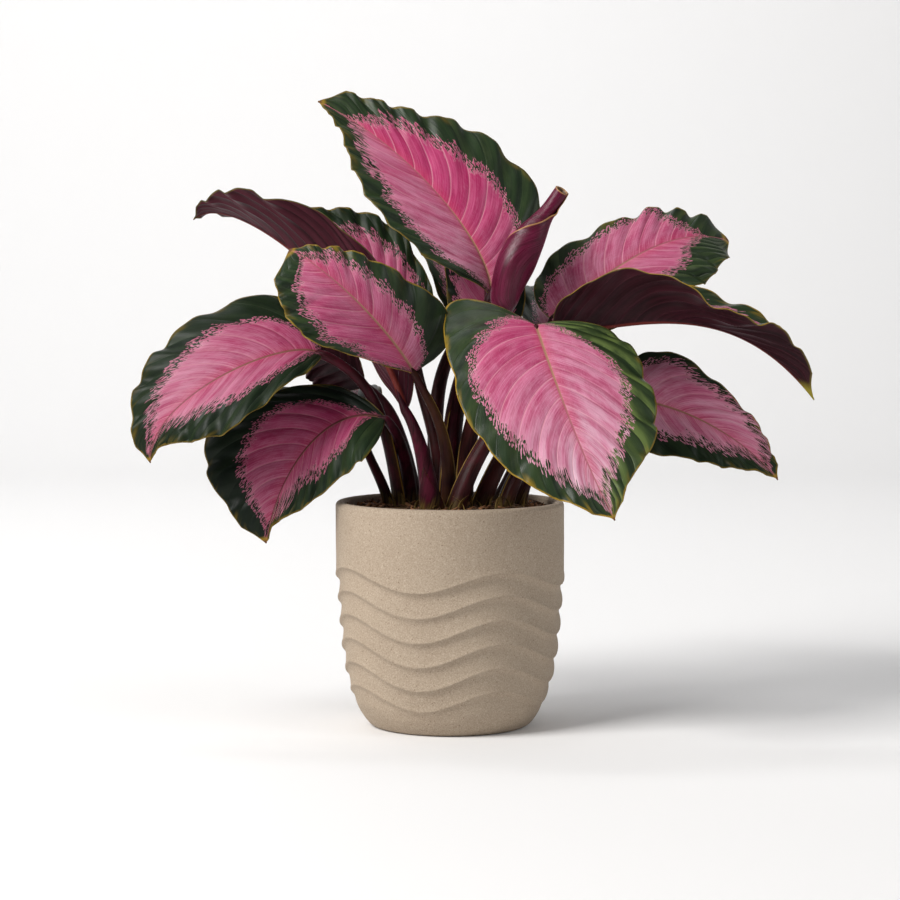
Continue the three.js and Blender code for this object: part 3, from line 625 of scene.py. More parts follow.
def blade_middle(leaf, q, v):
    """Middle surface of a blade in mm. q runs from base to tip along the midrib and v from the left
    margin (-1) to the right (+1). A line of one q leaves the midrib at q and sweeps forward by up to
    a fifth of the length. Its section is an arc that starts at the fold angle and turns by the curl
    angle; the margin waves up and down by the ripple, six times or more from base to tip, and is drawn
    in by a few hundredths once in every wave."""
    right, across = v >= 0, np.abs(v)
    left_half, right_half = leaf["half"]
    widest = np.where(right, max(right_half), max(left_half))
    cap = np.sqrt(1 - (1 - np.clip(q / both(leaf, "round", (0.15, 0.15), right), 0, 1)) ** 2)
    point = np.clip((1 - q) / 0.10, 0, 1) ** 0.9
    drip = 0.03 * np.clip((1 - q) / 0.05, 0, 1) * np.clip(q / 0.5, 0, 1)
    share = np.where(right, along(right_half, q), along(left_half, q)) / widest * cap * point
    share = np.maximum(share, np.maximum(drip, 0.022 - 0.016 * q))
    sweep = 0.2 * np.sin(np.pi * q) * (1 - 0.35 * q)
    run = q + (sweep - both(leaf, "lobe", (0.05, 0.05), right) * share * (1 - q) ** 3) * across**1.3
    ribbon = through(leaf["rib"])
    length = np.linalg.norm(np.diff(cubic(ribbon, np.linspace(0, 1, 60))[0], axis=0), axis=1).sum()
    t = np.clip(run, 0, 1)
    middle, ahead = cubic(ribbon, t)
    middle = middle + ahead * ((run - t) * length)[..., None]
    up = along(unit(np.array(leaf["face"], float)), t)
    aside = unit(np.cross(ahead, up))
    up = np.cross(aside, ahead)
    folds, curls = leaf.get("fold", ([8, 8], [8, 8])), leaf.get("curl", ([-15, -15], [-15, -15]))
    fold = np.radians(np.where(right, along(folds[1], t), along(folds[0], t)))
    curl = np.radians(np.where(right, along(curls[1], t), along(curls[0], t)))
    curl = np.where(np.abs(curl) < 1e-4, 1e-4, curl)
    shift = np.where(right, 1.3, 0.0)
    wave = 2 * np.pi * leaf.get("waves", 6) * q + shift + 0.7 * np.sin(9 * q + shift)
    reach = across * widest * share * (1 - 0.035 * across**4 * (0.5 + 0.5 * np.cos(wave + 0.6)) ** 3)
    turn = fold + curl * reach / widest
    out = widest / curl * (np.sin(turn) - np.sin(fold))
    rise = widest / curl * (np.cos(fold) - np.cos(turn))
    points = middle + aside * (np.where(right, 1, -1) * out)[..., None] + up * rise[..., None]
    ripple = leaf.get("ripple", 2.0) * across**2 * np.sqrt(np.clip(np.sin(np.pi * q), 0, 1))
    ripple = ripple * (np.sin(wave) + 0.35 * np.sin(2 * wave + 1))
    return points + upward(points) * ripple[..., None], reach, widest * share, length


def upward(points):
    """Unit normals of a blade's grid, towards its upper face: across times along."""
    return unit(np.cross(np.gradient(points, axis=1), np.gradient(points, axis=0)))


def two_faced(upper, lower):
    """Points, faces and finish numbers of a skin: two grids back to back, joined by a band along the
    margin. The upper grid and the band have finish 0 and the lower grid has finish 1."""
    rows, columns = upper.shape[:2]
    grid = sheet_faces(rows, columns)
    i, j = np.arange(rows), np.arange(columns)
    right, left = i[1:] * columns + columns - 1, i[-2:0:-1] * columns
    rim = np.concatenate([j, right, (rows - 1) * columns + j[-2::-1], left])
    under = rows * columns
    band = np.stack([rim, rim + under, np.roll(rim, -1) + under, np.roll(rim, -1)], -1)
    faces = np.concatenate([grid, grid[:, ::-1] + under, band])
    return np.concatenate([upper, lower]), faces, np.repeat([0, 1, 0], [len(grid), len(grid), len(band)])


def put_marks(piece, marks):
    """Stores one number or vector per point under each mark's name, for the finish to read."""
    for key, value in marks.items():
        value = value.reshape(len(piece.data.vertices), -1).astype(np.float32)
        kind, field = ("FLOAT_VECTOR", "vector") if value.shape[1] == 3 else ("FLOAT", "value")
        piece.data.attributes.new(key, kind, "POINT").data.foreach_set(field, value.ravel())


def blade(name, leaf, number):
    """Both faces of a blade. The middle surface is pleated by rounded ridges between the side veins,
    at full height from 16 mm out, and moved by half the skin's thickness to each side.
    The midrib stands out below as a rounded keel that thins towards the tip."""
    u = np.linspace(-1, 1, COLUMNS)
    v = np.sign(u) * (0.55 * np.abs(u) + 0.45 * np.abs(u) ** 2)
    q, v = np.meshgrid(np.linspace(0, 1, STATIONS), v, indexing="ij")
    middle, reach, half, length = blade_middle(leaf, q, v)
    right, across = v >= 0, np.abs(v)
    veins = length / VEIN_GAP
    station = q - both(leaf, "lean", (0.2, 0.2), right) * across**1.15
    phase = veins * station + 0.35 * np.sin(5.1 * station + number) + np.where(right, 0.4, 0)
    ridge = np.abs(np.sin(np.pi * phase)) ** 0.8 - 0.6
    ends = np.clip(q / 0.1, 0, 1) * np.clip((1 - q) / 0.12, 0, 1)
    pleat = PLEAT * ridge * ends * np.clip(reach / 16, 0, 1) * (1 - 0.3 * across**4)
    face = upward(middle)
    middle = middle + face * pleat[..., None]
    face = upward(middle)
    keel_width = 2.0 * (1 - q) ** 0.8 + 0.5
    keel = (1.9 * (1 - q) + 0.25) * np.exp(-(reach / keel_width) ** 2)
    groove = 0.35 * (1 - q) * np.exp(-(reach / (0.6 * keel_width)) ** 2)
    upper = middle + face * (SKIN / 2 - groove)[..., None]
    lower = middle - face * (SKIN / 2 + keel)[..., None]
    points, faces, which = two_faced(upper, lower)
    upper_finish = dull_upper if np.max(leaf.get("deep", 0.1)) > 0.4 else glossy_upper
    piece = new_piece("blade_" + name, points / 1000, faces, [upper_finish, blade_under], which)
    hearts = leaf.get("heart", (USUAL_HEART, USUAL_HEART))
    heart = np.where(right, along(hearts[1], q), along(hearts[0], q)) / 100
    pales = leaf.get("pale", [0.3, 0.3])
    pales = pales if isinstance(pales, tuple) else (pales, pales)
    marks = {
        "veins": np.stack([phase + 20 * number, np.where(right, reach, -reach), q * length], -1),
        "heart": (heart - across) * np.maximum(half, 6),
        "edge": (1 - across) * half,
        "tip": (1 - q) * length,
        "rib": 1 - reach / (0.35 + 0.95 * (1 - q) ** 1.3),
        # pale: how faded the pink is above, and how strong the painted sheen is across each panel below
        "pale": np.where(right, along(pales[-1], q), along(pales[0], q)),
        # deep: how strongly painted shade darkens this leaf's colours
        "deep": np.where(right, *np.broadcast_to(leaf.get("deep", 0.1), 2)[::-1]),
        # lime: how strong the painted highlight of light green is across each panel
        "lime_highlight": both(leaf, "lime_highlight", (0.15, 0.15), right),
        "gilt": both(leaf, "gilt", (0.4, 0.4), right),
    }
    put_marks(piece, {key: np.concatenate([value, value]) for key, value in marks.items()})
    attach(piece, "root")
    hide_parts("leaf_" + name)


def ease(tree, value, low, high, start=0.0, end=1.0):
    """Maps low to start and high to end, smoothly, and holds beyond them."""
    return ramp(tree, value, low, high, start, end, "SMOOTHSTEP")


def streaks(tree, stretch, size, detail, rough=0.55):
    """Noise drawn out along the side veins: size in mm across them, stretch times that along them."""
    scale = (VEIN_GAP / size, 1 / (size * stretch), 0)
    flow = layer(tree, "VectorMath", {0: mark(tree, "veins", "Vector"), 1: scale}, operation="MULTIPLY")
    return noise(tree, flow, 1, detail, rough)


def vein_place(tree):
    """Side veins counted from the base, mm from the midrib and mm along it."""
    return layer(tree, "SeparateXYZ", {0: mark(tree, "veins", "Vector")}).outputs


def vein_lines(tree, width):
    """1 on the side veins and 0 away from them, for a width in mm."""
    saw = worked(tree, "PINGPONG", vein_place(tree)[0], 0.5)
    return ease(tree, saw, width / VEIN_GAP, 0.15 * width / VEIN_GAP)


def size_of(tree, value):
    """A number without its sign."""
    return worked(tree, "ABSOLUTE", value, 0)


# upper face: the heart's edge steps out and in along the veins, breaks up into short flecks, and
# a broken line of flecks runs 3 mm outside it; each panel between two side veins takes a painted highlight
# across it, the green border a painted grey sheen and a painted light green highlight, and a leaf that
# hangs low or hidden a painted shade
RASPBERRY, ROSE = (0.33, 0.013, 0.084, 1), (0.45, 0.034, 0.138, 1)
# PANEL_HIGHLIGHT_PINK is the painted highlight that each panel between two side veins takes across it
PANEL_HIGHLIGHT_PINK, FADED_PINK, RIBSIDE_PINK = (0.53, 0.115, 0.235, 1), (0.66, 0.46, 0.54, 1), (0.50, 0.035, 0.085, 1)
FINE_PALE, FINE_DARK = (0.62, 0.21, 0.35, 1), (0.23, 0.010, 0.062, 1)
CROSS_PALE, CROSS_DARK = (0.66, 0.29, 0.42, 1), (0.26, 0.02, 0.07, 1)
# SHADED_PINK, SHADED_GREEN and SHADED_RIB are painted shade for leaves that hang low or hidden
HEART_EDGE, VEIN_PINK, SHADED_PINK = (0.64, 0.32, 0.38, 1), (0.66, 0.30, 0.36, 1), (0.13, 0.008, 0.034, 1)
DARK_GREEN, LEAF_GREEN = (0.0065, 0.0150, 0.0065, 1), (0.018, 0.036, 0.013, 1)
# GREY_SHEEN_GREEN is a painted grey sheen and LIME_HIGHLIGHT a painted highlight of light green
GREY_SHEEN_GREEN, LIME_HIGHLIGHT = (0.05, 0.062, 0.030, 1), (0.11, 0.155, 0.042, 1)
SHADED_GREEN, WARM_SPOT = (0.0045, 0.0075, 0.0055, 1), (0.36, 0.22, 0.015, 1)
RIB_EDGE, RIB_STRAW = (0.42, 0.19, 0.13, 1), (0.31, 0.20, 0.10, 1)
RIB_ROSE, SHADED_RIB = (0.36, 0.11, 0.13, 1), (0.07, 0.02, 0.018, 1)
GILT_LINE, GILT_TIP, BROWN_TIP = (0.33, 0.20, 0.018, 1), (0.36, 0.22, 0.02, 1), (0.12, 0.045, 0.02, 1)


def heart_margin(tree):
    """Signed mm inside the heart once its margin is toothed: streaks of two sizes move it, less near the
    tip, a raised line 3.2 mm outside it breaks through in places, and flecks scatter about it."""
    ragged = ease(tree, mark(tree, "tip"), 12, 45, 0.25, 1)
    steps = times(tree, plus(tree, streaks(tree, 4, 6.5, 1), -0.5), ragged, 11)
    teeth = times(tree, plus(tree, streaks(tree, 2.2, 2.0, 2), -0.5), ragged, 10)
    toothed = plus(tree, mark(tree, "heart"), steps, teeth)
    line = ease(tree, size_of(tree, plus(tree, toothed, 3.2)), 1.6, 0.3, 0, 3.4)
    near = ease(tree, size_of(tree, plus(tree, toothed, 0.8)), 6, 0.5)
    fleck = plus(tree, streaks(tree, 1.6, 0.8, 1, 0.4), -0.5)
    return plus(tree, toothed, line, times(tree, fleck, near, 24))


def pink_heart(tree, inside, broad, fine, cross, patch):
    """Raspberry to rose in broad streaks, then coats: a painted highlight grows across each panel, the pale
    mark fades all, fine streaks along and across the veins lighten and darken, the veins and the heart's edge
    grow paler, and the deep mark lays on painted shade."""
    count, aside, _ = vein_place(tree)
    pale = mark(tree, "pale")
    lines = ease(tree, pale, 0, 0.35, 0.35, 1)
    # painted highlight: each panel is painted lighter towards one side
    panel = times(tree, worked(tree, "FRACT", count, 0), ease(tree, patch, 0.4, 0.6, 0.05, 0.5), lines)
    faded = times(tree, pale, ease(tree, plus(tree, broad, patch), 0.8, 1.2, 0.3, 0.95))
    small = worked(tree, "PINGPONG", plus(tree, times(tree, count, 8), times(tree, patch, 1.2)), 0.5)
    small = times(tree, ease(tree, small, 0.12, 0.02), ease(tree, broad, 0.35, 0.65, 0.1, 0.6), lines)
    veins = times(tree, vein_lines(tree, 0.6), ease(tree, broad, 0.3, 0.55, 0.25, 0.6))
    return painted(
        tree,
        RASPBERRY,
        (ease(tree, broad, 0.35, 0.65), ROSE),
        (panel, PANEL_HIGHLIGHT_PINK),
        (faded, FADED_PINK),
        (ease(tree, size_of(tree, aside), 8, 0.5, 0, 0.35), RIBSIDE_PINK),
        (times(tree, ease(tree, fine, 0.5, 0.64, 0, 0.45), lines), FINE_PALE),
        (ease(tree, fine, 0.5, 0.36, 0, 0.36), FINE_DARK),
        (times(tree, ease(tree, cross, 0.5, 0.72, 0, 0.26), lines), CROSS_PALE),
        (ease(tree, cross, 0.48, 0.3, 0, 0.16), CROSS_DARK),
        (small, CROSS_PALE),
        (ease(tree, inside, 3.5, 0.5, 0, 0.45), HEART_EDGE),
        (veins, VEIN_PINK),
        # painted shade: darker pink, as much as the deep mark gives
        (times(tree, mark(tree, "deep"), 0.42), SHADED_PINK),
    )


def green_border(tree, broad, fine, patch):
    """Dark to leaf green in broad streaks, then coats: a painted grey sheen in fine streaks, a painted
    highlight of light green across each panel as the lime mark gives, painted shade near black on a leaf that
    hangs in shade, and warm spots at the margin."""
    panel = ease(tree, worked(tree, "FRACT", vein_place(tree)[0], 0), 0.25, 0.9, 0.1, 0.8)
    # painted highlight: light green towards one side of each panel, as much as the lime mark gives
    lime_highlight = times(tree, mark(tree, "lime_highlight"), panel, ease(tree, patch, 0.35, 0.6, 0.25, 1))
    at_margin, spots = ease(tree, mark(tree, "edge"), 5, 0), ease(tree, patch, 0.5, 0.7)
    return painted(
        tree,
        DARK_GREEN,
        (ease(tree, broad, 0.35, 0.65), LEAF_GREEN),
        # painted sheen: grey in the fine streaks along the veins
        (ease(tree, fine, 0.45, 0.75, 0, 0.25), GREY_SHEEN_GREEN),
        (lime_highlight, LIME_HIGHLIGHT),
        # painted shade: near black green, as much as the deep mark gives
        (times(tree, mark(tree, "deep"), 0.75), SHADED_GREEN),
        (times(tree, at_margin, spots, mark(tree, "gilt"), 0.7), WARM_SPOT),
    )


def upper_face(name, gloss):
    """Finish of a blade's upper face: heart on green, then the midrib, the thin gilt line along the margin
    and the tip. Gloss is its specular level, lower on leaves that hang in shade."""
    finish, tree, shader = new_finish(name)
    broad, fine = streaks(tree, 9, 5.5, 3), streaks(tree, 14, 0.75, 3, 0.7)
    cross, patch = streaks(tree, 0.14, 3.2, 2, 0.6), streaks(tree, 1.2, 9, 3)
    inside = heart_margin(tree)
    pink = pink_heart(tree, inside, broad, fine, cross, patch)
    rib, tip = mark(tree, "rib"), mark(tree, "tip")
    midrib = painted(
        tree,
        RIB_EDGE,
        (ease(tree, rib, 0.3, 0.9), RIB_STRAW),
        (ease(tree, vein_place(tree)[2], 55, 95), RIB_ROSE),
        # painted shade: a darker midrib, as much as the deep mark gives
        (times(tree, mark(tree, "deep"), 0.85), SHADED_RIB),
    )
    margin = plus(tree, mark(tree, "edge"), times(tree, plus(tree, patch, -0.5), 2.4))
    colour = painted(
        tree,
        green_border(tree, broad, fine, patch),
        (ease(tree, inside, -0.3, 0.3), pink),
        (ease(tree, rib, -0.15, 0.25, 0, 0.8), midrib),
        (times(tree, ease(tree, margin, 0.9, 0.2), mark(tree, "gilt")), GILT_LINE),
        (ease(tree, tip, 6, 3, 0, 0.7), GILT_TIP),
        (ease(tree, tip, 3.5, 1.5, 0, 0.9), BROWN_TIP),
    )
    grooves = times(tree, vein_lines(tree, 0.9), -0.6)
    grain = plus(tree, times(tree, fine, 0.5), times(tree, cross, 0.25), grooves)
    surface(tree, shader, colour, ease(tree, fine, 0.3, 0.7, 0.31, 0.43), gloss, grain, 0.6, 0.00035)
    return finish


glossy_upper = upper_face("pink_and_green_upper_face", 0.23)
dull_upper = upper_face("dull_pink_and_green_upper_face", 0.12)

# underside: dark maroon with paler raised veins, a painted sheen across each panel, a red keel and the same
# thin edge
MAROON, WINE, WINE_BLOOM = (0.014, 0.0026, 0.0044, 1), (0.036, 0.0065, 0.0115, 1), (0.055, 0.015, 0.021, 1)
VEIN_WINE, LIT_WINE, KEEL_RED = (0.10, 0.03, 0.04, 1), (0.125, 0.026, 0.042, 1), (0.16, 0.025, 0.018, 1)
OCHRE_EDGE, YELLOW_TIP = (0.13, 0.10, 0.025, 1), (0.30, 0.25, 0.03, 1)
blade_under, tree, shader = new_finish("maroon_underside")
broad, fine = streaks(tree, 9, 6, 3), streaks(tree, 14, 1.0, 3, 0.7)
panel = worked(tree, "FRACT", vein_place(tree)[0], 0)
# painted sheen: each panel is painted lighter towards one side, as much as the pale mark gives
lit = times(tree, ease(tree, mark(tree, "pale"), 0.4, 1), ease(tree, panel, 0.1, 0.9, 0.08, 0.5))
maroon = painted(
    tree,
    MAROON,
    (ease(tree, broad, 0.35, 0.65), WINE),
    (ease(tree, fine, 0.45, 0.75, 0, 0.35), WINE_BLOOM),
    (times(tree, vein_lines(tree, 0.8), 0.25), VEIN_WINE),
    (lit, LIT_WINE),
    (ease(tree, mark(tree, "rib"), -0.9, 0.2, 0, 0.85), KEEL_RED),
    (ease(tree, mark(tree, "edge"), 1.1, 0.2, 0, 0.8), OCHRE_EDGE),
    (times(tree, ease(tree, mark(tree, "tip"), 14, 5), mark(tree, "gilt")), YELLOW_TIP),
)
grain = plus(tree, times(tree, fine, 0.4), times(tree, vein_lines(tree, 1.2), 0.8))
surface(tree, shader, maroon, ease(tree, fine, 0.3, 0.7, 0.36, 0.48), 0.13, grain, 0.6, 0.0004)

for number, (name, leaf) in enumerate(BLADES.items()):
    blade(name, leaf, number)


# ---------------------------------------------------------------- stalks
# Each leaf stands on its own stalk. The lower part is a sheath, a flat margin wrapped once
# round the stalk, so that one pale edge runs up its side; above it the stalk is round and
# runs on under the blade. Satin maroon, turning olive and straw-coloured near the soil.
#
# path: four points on the centre line, mm, from inside the soil to the blade's base. thick: radius at the
# top and at the foot, mm. fall: how fast it thins. seam: the sheath edge's angle at the foot and at the top,
# degrees from the front. wrap: how far up the sheath goes. scale: a scale leaf's tip, angle and height in mm.
# olive: how brown it is.
STALKS = {
    "top": {
        "path": [(-1, 2, 139), (5, 8, 214), (16, 10, 250), (27, 8, 283)],
        "thick": (3.2, 6.8), "fall": 0.8, "seam": (-60, 30), "olive": 0.1,
    },
    "front": {
        "path": [(2, -33, 139), (24, -27, 189), (47, -24, 225), (55, -32, 264)],
        "thick": (3.2, 6.5), "seam": (-75, -60), "wrap": 0.62, "olive": 0.3,
    },
    "mid_left": {
        "path": [(-1.5, -18, 139), (-2.7, -22, 183), (-11.7, -27, 211), (-23, -31, 233)],
        "thick": (2.4, 5.2), "seam": (75, 62), "wrap": 0.85, "olive": 0.8,
    },
    "far_left": {
        "path": [(-31.5, -9, 139), (-42.5, -5, 195), (-58.5, -12, 227), (-84, -18, 245)],
        "thick": (3.1, 4.6), "seam": (50, 60), "wrap": 0.45, "olive": 0.15,
    },
    "low_left": {
        "path": [(-26, 4, 139), (-29, 3, 170), (-34, -10, 190), (-42, -19, 203)],
        "thick": (2.6, 5.5), "fall": 1.2, "olive": 0.0,
    },
    "back_left": {
        "path": [(-11, 9, 139), (-9, 17, 182), (-18, 29, 216), (-24, 38, 254)],
        "thick": (2.8, 5.4), "fall": 0.9, "olive": 0.4,
    },
    "arching_left": {
        "path": [(-11.6, -36, 139), (-15.8, -40, 172), (-22, -38, 195), (-29, -34, 209)],
        "thick": (3.0, 7.4), "seam": (120, 120), "wrap": 0.2, "scale": (-12, 32), "olive": 0.0,
    },
    "arching_right": {
        "path": [(18, -18, 139), (35, -14, 179), (57, -8, 220), (70, -4, 259)],
        "thick": (3.0, 6.4), "fall": 1.2, "seam": (-70, -50), "wrap": 0.6, "olive": 0.5,
    },
    "back_right": {
        "path": [(44, 2, 139), (55, 13, 175), (64, 32, 212), (67, 44, 267)],
        "thick": (2.5, 4.2), "olive": 0.2,
    },
    "low_right": {
        "path": [(34, -13, 139), (53, -6, 180), (83, 8, 207), (117, 20, 213)],
        "thick": (2.9, 5.6), "seam": (-50, -30), "wrap": 0.5, "olive": 0.5,
    },
    "behind": {
        "path": [(-1, 16, 139), (1, 28, 186), (9, 39, 219), (25, 45, 249)],
        "thick": (3.3, 6.6), "fall": 0.7, "olive": 0.3,
    },
    "inner_left": {
        "path": [(-25, 15, 139), (-33, 18, 181), (-42, 24, 206), (-57, 27, 222)],
        "thick": (2.6, 8.0), "fall": 1.0, "olive": 0.1,
    },
    "rear_left": {
        "path": [(-39, 9, 139), (-48, 15, 164), (-57, 25, 184), (-57, 34, 198)],
        "thick": (2.5, 3.9), "olive": 0.2,
    },
    "rear_high": {
        "path": [(-9, 30, 139), (-10, 46, 185), (-6, 59, 226), (12, 66, 260)],
        "thick": (3.4, 6.4), "fall": 1.0, "olive": 0.3,
    },
    "rear_right": {
        "path": [(26, 19, 139), (46, 38, 175), (62, 56, 222), (64, 64, 256)],
        "thick": (2.5, 4.2), "olive": 0.4,
    },
    "rolled": {
        "path": [(10, -3, 139), (14, -3, 194), (25, -5, 231), (34, -8, 265)],
        "thick": (3.3, 6.0), "fall": 1.0, "seam": (-60, -80), "olive": 0.5,
    },
}
ROLL_AXIS = [(34, -8, 265), (41, -6, 298), (56, -4, 326), (73, -1, 351)]


def stalk_line(name, path):
    """Centre line in mm: the cubic through the stalk's points, then on under the blade beside its
    midrib for a tenth of its length; the corner between the two is eased by a moving average."""
    stand = cubic(through(path), np.linspace(0, 1, 110))[0]
    if name == "rolled":
        tail = cubic(through(ROLL_AXIS), np.linspace(0.01, 0.1, 12))[0]
    else:
        middle, ahead = cubic(through(BLADES[name]["rib"]), np.linspace(0.01, 0.09, 12))
        up = along(unit(np.array(BLADES[name]["face"], float)), np.linspace(0.01, 0.09, 12))
        up = unit(up - ahead * (up * ahead).sum(-1, keepdims=True))
        tail = middle - up * np.linspace(1.5, 1.1, 12)[:, None]
    line = np.concatenate([stand, tail])
    eased = np.stack([np.convolve(line[:, k], np.ones(9) / 9, "valid") for k in range(3)], -1)
    return np.concatenate([line[:4], eased, line[-1:]])


def stalk(name, spec, number):
    """A closed skin round the centre line, its angle measured from the front towards +X. The radius
    falls from the foot's to the top's, fast at first. Over the sheath it also grows by a quarter once
    round, from the inner edge to the outer one, which leaves one step; the step's angle drifts with
    height. A pointed scale leaf adds 0.8 mm below an outline that falls from its tip to both sides."""
    line = stalk_line(name, spec["path"])
    rows, sides = len(line), 64
    ahead = unit(np.gradient(line, axis=0))
    aside = unit(np.cross([0.0, 1.0, 0.0], ahead))
    toward = np.cross(aside, ahead)
    t = np.linspace(0, 1, rows)[:, None]
    turn = np.linspace(0, 1, sides)[None]
    top, foot = spec["thick"]
    low, high = spec.get("seam", (160, 200))
    angle = np.radians(low + (high - low) * t + 7 * np.sin(9 * t + number)) + 2 * np.pi * turn
    radius = top + (foot - top) * (1 - t) ** spec.get("fall", 1.7)
    radius = radius * (1 - 0.8 * np.clip((t - 0.9) / 0.1, 0, 1) ** 1.3)
    wrap = np.clip((spec.get("wrap", 0.4) - t) / 0.15, 0, 1)
    height = np.cumsum(np.linalg.norm(np.diff(line, axis=0, prepend=line[:1]), axis=1))[:, None] + 0 * turn
    tip_angle, tip_height = spec.get("scale", (0, -30))
    off = np.abs((angle - np.radians(tip_angle) + np.pi) % (2 * np.pi) - np.pi)
    inside = 0.6 * (tip_height * (1 - (off / 2.6) ** 0.8) + 4 - height)
    size = radius * (1 + 0.25 * wrap * (turn - 0.5)) * (1 + 0.025 * np.sin(5 * angle + number) * (1 - t) ** 2)
    size = size + 0.8 * np.clip(inside, 0, 1)
    outward = np.sin(angle)[..., None] * aside[:, None] + np.cos(angle)[..., None] * toward[:, None]
    skin = line[:, None] + size[..., None] * outward
    points, faces = closed_skins(skin[None])
    piece = new_piece("stalk_" + name, points / 1000, faces, [stalk_skin])
    to_seam = (1 - turn) * 2 * np.pi * radius + 9 * (1 - wrap)
    edge = np.minimum(to_seam, np.where(inside > 0, inside * 2.2 + 0.35, 9))
    marks = {
        "grain": np.stack([angle * radius, height, 0 * height + 20 * number], -1),
        "hem": edge,
        "height": height,
        "olive": 0 * height + spec["olive"],
    }
    ends = {key: value.reshape(rows * sides, -1) for key, value in marks.items()}
    put_marks(piece, {key: np.concatenate([value, value[:1], value[-1:]]) for key, value in ends.items()})
    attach(piece, "root")
    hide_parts("stem_" + name)


def stalk_noise(tree, round_it, along_it, detail, rough=0.5):
    """Noise on the stalk's skin, with so many lumps to the mm round it and along it."""
    scale = (round_it, along_it, 1)
    place = layer(tree, "VectorMath", {0: mark(tree, "grain", "Vector"), 1: scale}, operation="MULTIPLY")
    return noise(tree, place, 1, detail, rough)


BLACK_MAROON, STALK_MAROON = (0.011, 0.0020, 0.0034, 1), (0.042, 0.0060, 0.0115, 1)
RED_CLOUD, BROWN_CLOUD, STRAW = (0.085, 0.0045, 0.020, 1), (0.045, 0.018, 0.007, 1), (0.13, 0.095, 0.02, 1)
HEM_SHADE, HEM_STRAW = (0.11, 0.06, 0.012, 1), (0.36, 0.22, 0.05, 1)
stalk_skin, tree, shader = new_finish("satin_maroon_stalk")
fibre, cloud = stalk_noise(tree, 1.1, 0.05, 4, 0.6), stalk_noise(tree, 0.14, 0.06, 3)
hem = mark(tree, "hem")
low = plus(tree, mark(tree, "height"), times(tree, plus(tree, cloud, -0.5), 30))
maroon = painted(
    tree,
    BLACK_MAROON,
    (ease(tree, fibre, 0.3, 0.7), STALK_MAROON),
    (ease(tree, cloud, 0.45, 0.65, 0, 0.55), RED_CLOUD),
    (times(tree, mark(tree, "olive"), ease(tree, cloud, 0.3, 0.6, 0.2, 1)), BROWN_CLOUD),
    (times(tree, ease(tree, low, 17, 6), ease(tree, fibre, 0.4, 0.62, 0.1, 0.7)), STRAW),
    (ease(tree, hem, 4, 0.5, 0, 0.3), HEM_SHADE),
    (ease(tree, hem, 1.1, 0.4, 0, 0.9), HEM_STRAW),
)
surface(tree, shader, maroon, ease(tree, fibre, 0.3, 0.7, 0.32, 0.46), 0.10, fibre, 0.5, 0.0006)

for number, (name, spec) in enumerate(STALKS.items()):
    stalk(name, spec, number)


# ---------------------------------------------------------------- rolled leaf
# The youngest leaf is still furled: one blade wound into a slim tube, magenta underside out.
# Its free margin climbs from the left round the front to the mouth, where the inner turn
# shows above it. It has the same midrib and side veins, still pressed flat and steep.
ROLL_SIZE = [7.5, 10.5, 12.8, 10.5, 5.5, 4.7]
ROLL_TURNS, ROLL_LENGTH, ROLL_SKIN = 1.72, 95, 0.5
MARGIN_HEIGHTS = [0, 0.3, 0.5, 0.6, 0.72, 0.83, 0.93, 1]
MARGIN_ANGLES = [-200, -130, -92, -50, 0, 45, 92, 112]


def rolled_sheet(u, t):
    """Middle surface of the furled blade in mm. t runs up the axis. u runs inward from the free margin,
    turning about the axis while the radius shrinks by an eighth each turn; the margin's own angle grows
    with t. The mouth is cut aslant, lowest in front. The margin stands off by up to 2 mm in two places."""
    edge = np.radians(np.interp(t, MARGIN_HEIGHTS, MARGIN_ANGLES))
    angle = edge + 2 * np.pi * ROLL_TURNS * u
    place, ahead = cubic(through(ROLL_AXIS), t * (1 - 0.024 * np.cos(angle) * t**4))
    aside = unit(np.cross(np.array([0.0, 1.0, 0.0]), ahead))
    toward = np.cross(aside, ahead)
    waist = 0.42 + 0.58 * np.sin(np.pi / 2 * np.clip(t / 0.16, 0, 1))
    outer = along(ROLL_SIZE, t) * waist
    arc = 2 * np.pi * ROLL_TURNS * u * outer
    stand = 0.5 + 1.5 * np.exp(-(((t - 0.66) / 0.05) ** 2)) + 2.2 * np.exp(-(((t - 0.83) / 0.03) ** 2))
    size = outer * (1 - 0.13 * ROLL_TURNS * u) + stand * np.exp(-arc / 3.0) * waist
    size = size + 0.25 * np.sin(3 * angle + 9 * t) * np.sin(np.pi * t)
    outward = np.sin(angle)[..., None] * aside + np.cos(angle)[..., None] * toward
    return place + size[..., None] * outward, arc


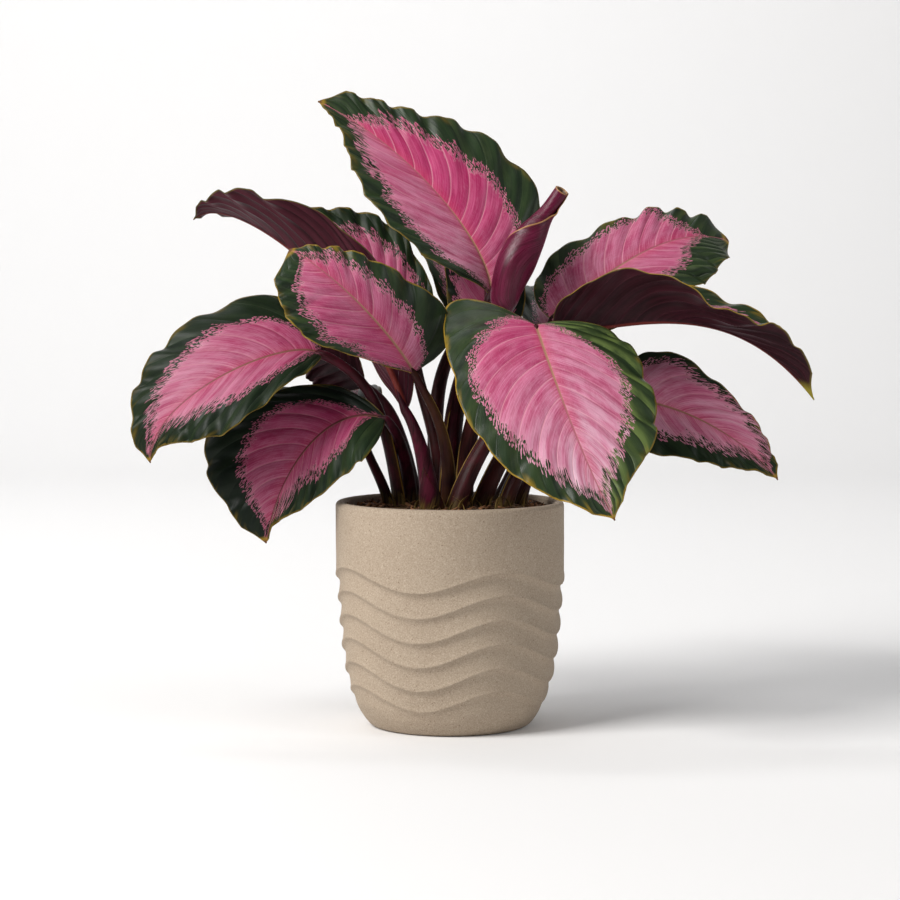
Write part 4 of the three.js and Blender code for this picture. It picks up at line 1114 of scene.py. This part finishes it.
u, t = np.meshgrid(np.linspace(0, 1, 200) ** 1.1, np.linspace(0, 1, 160), indexing="xy")
middle, arc = rolled_sheet(u, t)
outward = unit(np.cross(np.gradient(middle, axis=1), np.gradient(middle, axis=0)))
keel = 0.9 * (1 - t) * np.exp(-(((u - 0.5) / 0.03) ** 2))
outer, inner = middle + outward * (ROLL_SKIN / 2 + keel)[..., None], middle - outward * ROLL_SKIN / 2
points, faces, which = two_faced(outer, inner)

DEEP_MAGENTA, MAGENTA = (0.060, 0.0012, 0.0135, 1), (0.098, 0.0028, 0.025, 1)
MAGENTA_BLOOM, MAGENTA_VEIN = (0.24, 0.04, 0.095, 1), (0.045, 0.004, 0.015, 1)
TAN_EDGE = (0.40, 0.21, 0.08, 1)
young_skin, tree, shader = new_finish("magenta_underside_of_young_leaf")
broad, fine = streaks(tree, 14, 3.5, 2), streaks(tree, 24, 0.7, 3, 0.7)
magenta = painted(
    tree,
    DEEP_MAGENTA,
    (ease(tree, broad, 0.35, 0.65), MAGENTA),
    (ease(tree, fine, 0.5, 0.72, 0, 0.35), MAGENTA_BLOOM),
    (times(tree, vein_lines(tree, 0.6), 0.25), MAGENTA_VEIN),
    (ease(tree, mark(tree, "edge"), 1.3, 0.4, 0, 0.9), TAN_EDGE),
)
surface(tree, shader, magenta, ease(tree, fine, 0.3, 0.7, 0.26, 0.36), 0.3, fine, 0.5, 0.0004)

DARK_OLIVE, OLIVE = (0.07, 0.028, 0.014, 1), (0.16, 0.09, 0.03, 1)
young_inside, tree, shader = new_finish("olive_inside_of_young_leaf")
fine = streaks(tree, 14, 0.9, 3, 0.7)
olive = painted(
    tree,
    DARK_OLIVE,
    (ease(tree, fine, 0.35, 0.65), OLIVE),
    (ease(tree, mark(tree, "edge"), 1.3, 0.4, 0, 0.9), TAN_EDGE),
)
surface(tree, shader, olive, ease(tree, fine, 0.3, 0.7, 0.36, 0.5), 0.5, fine, 0.5, 0.0004)

roll = new_piece("rolled_blade", points / 1000, faces, [young_skin, young_inside], which)
marks = {
    "veins": np.stack([(arc + 0.22 * ROLL_LENGTH * t) / VEIN_GAP, ROLL_LENGTH * t, arc], -1),
    "edge": np.minimum(arc, ROLL_LENGTH * (1 - t)),
}
put_marks(roll, {key: np.concatenate([value, value]) for key, value in marks.items()})
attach(roll, "root")
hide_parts("leaf_rolled")
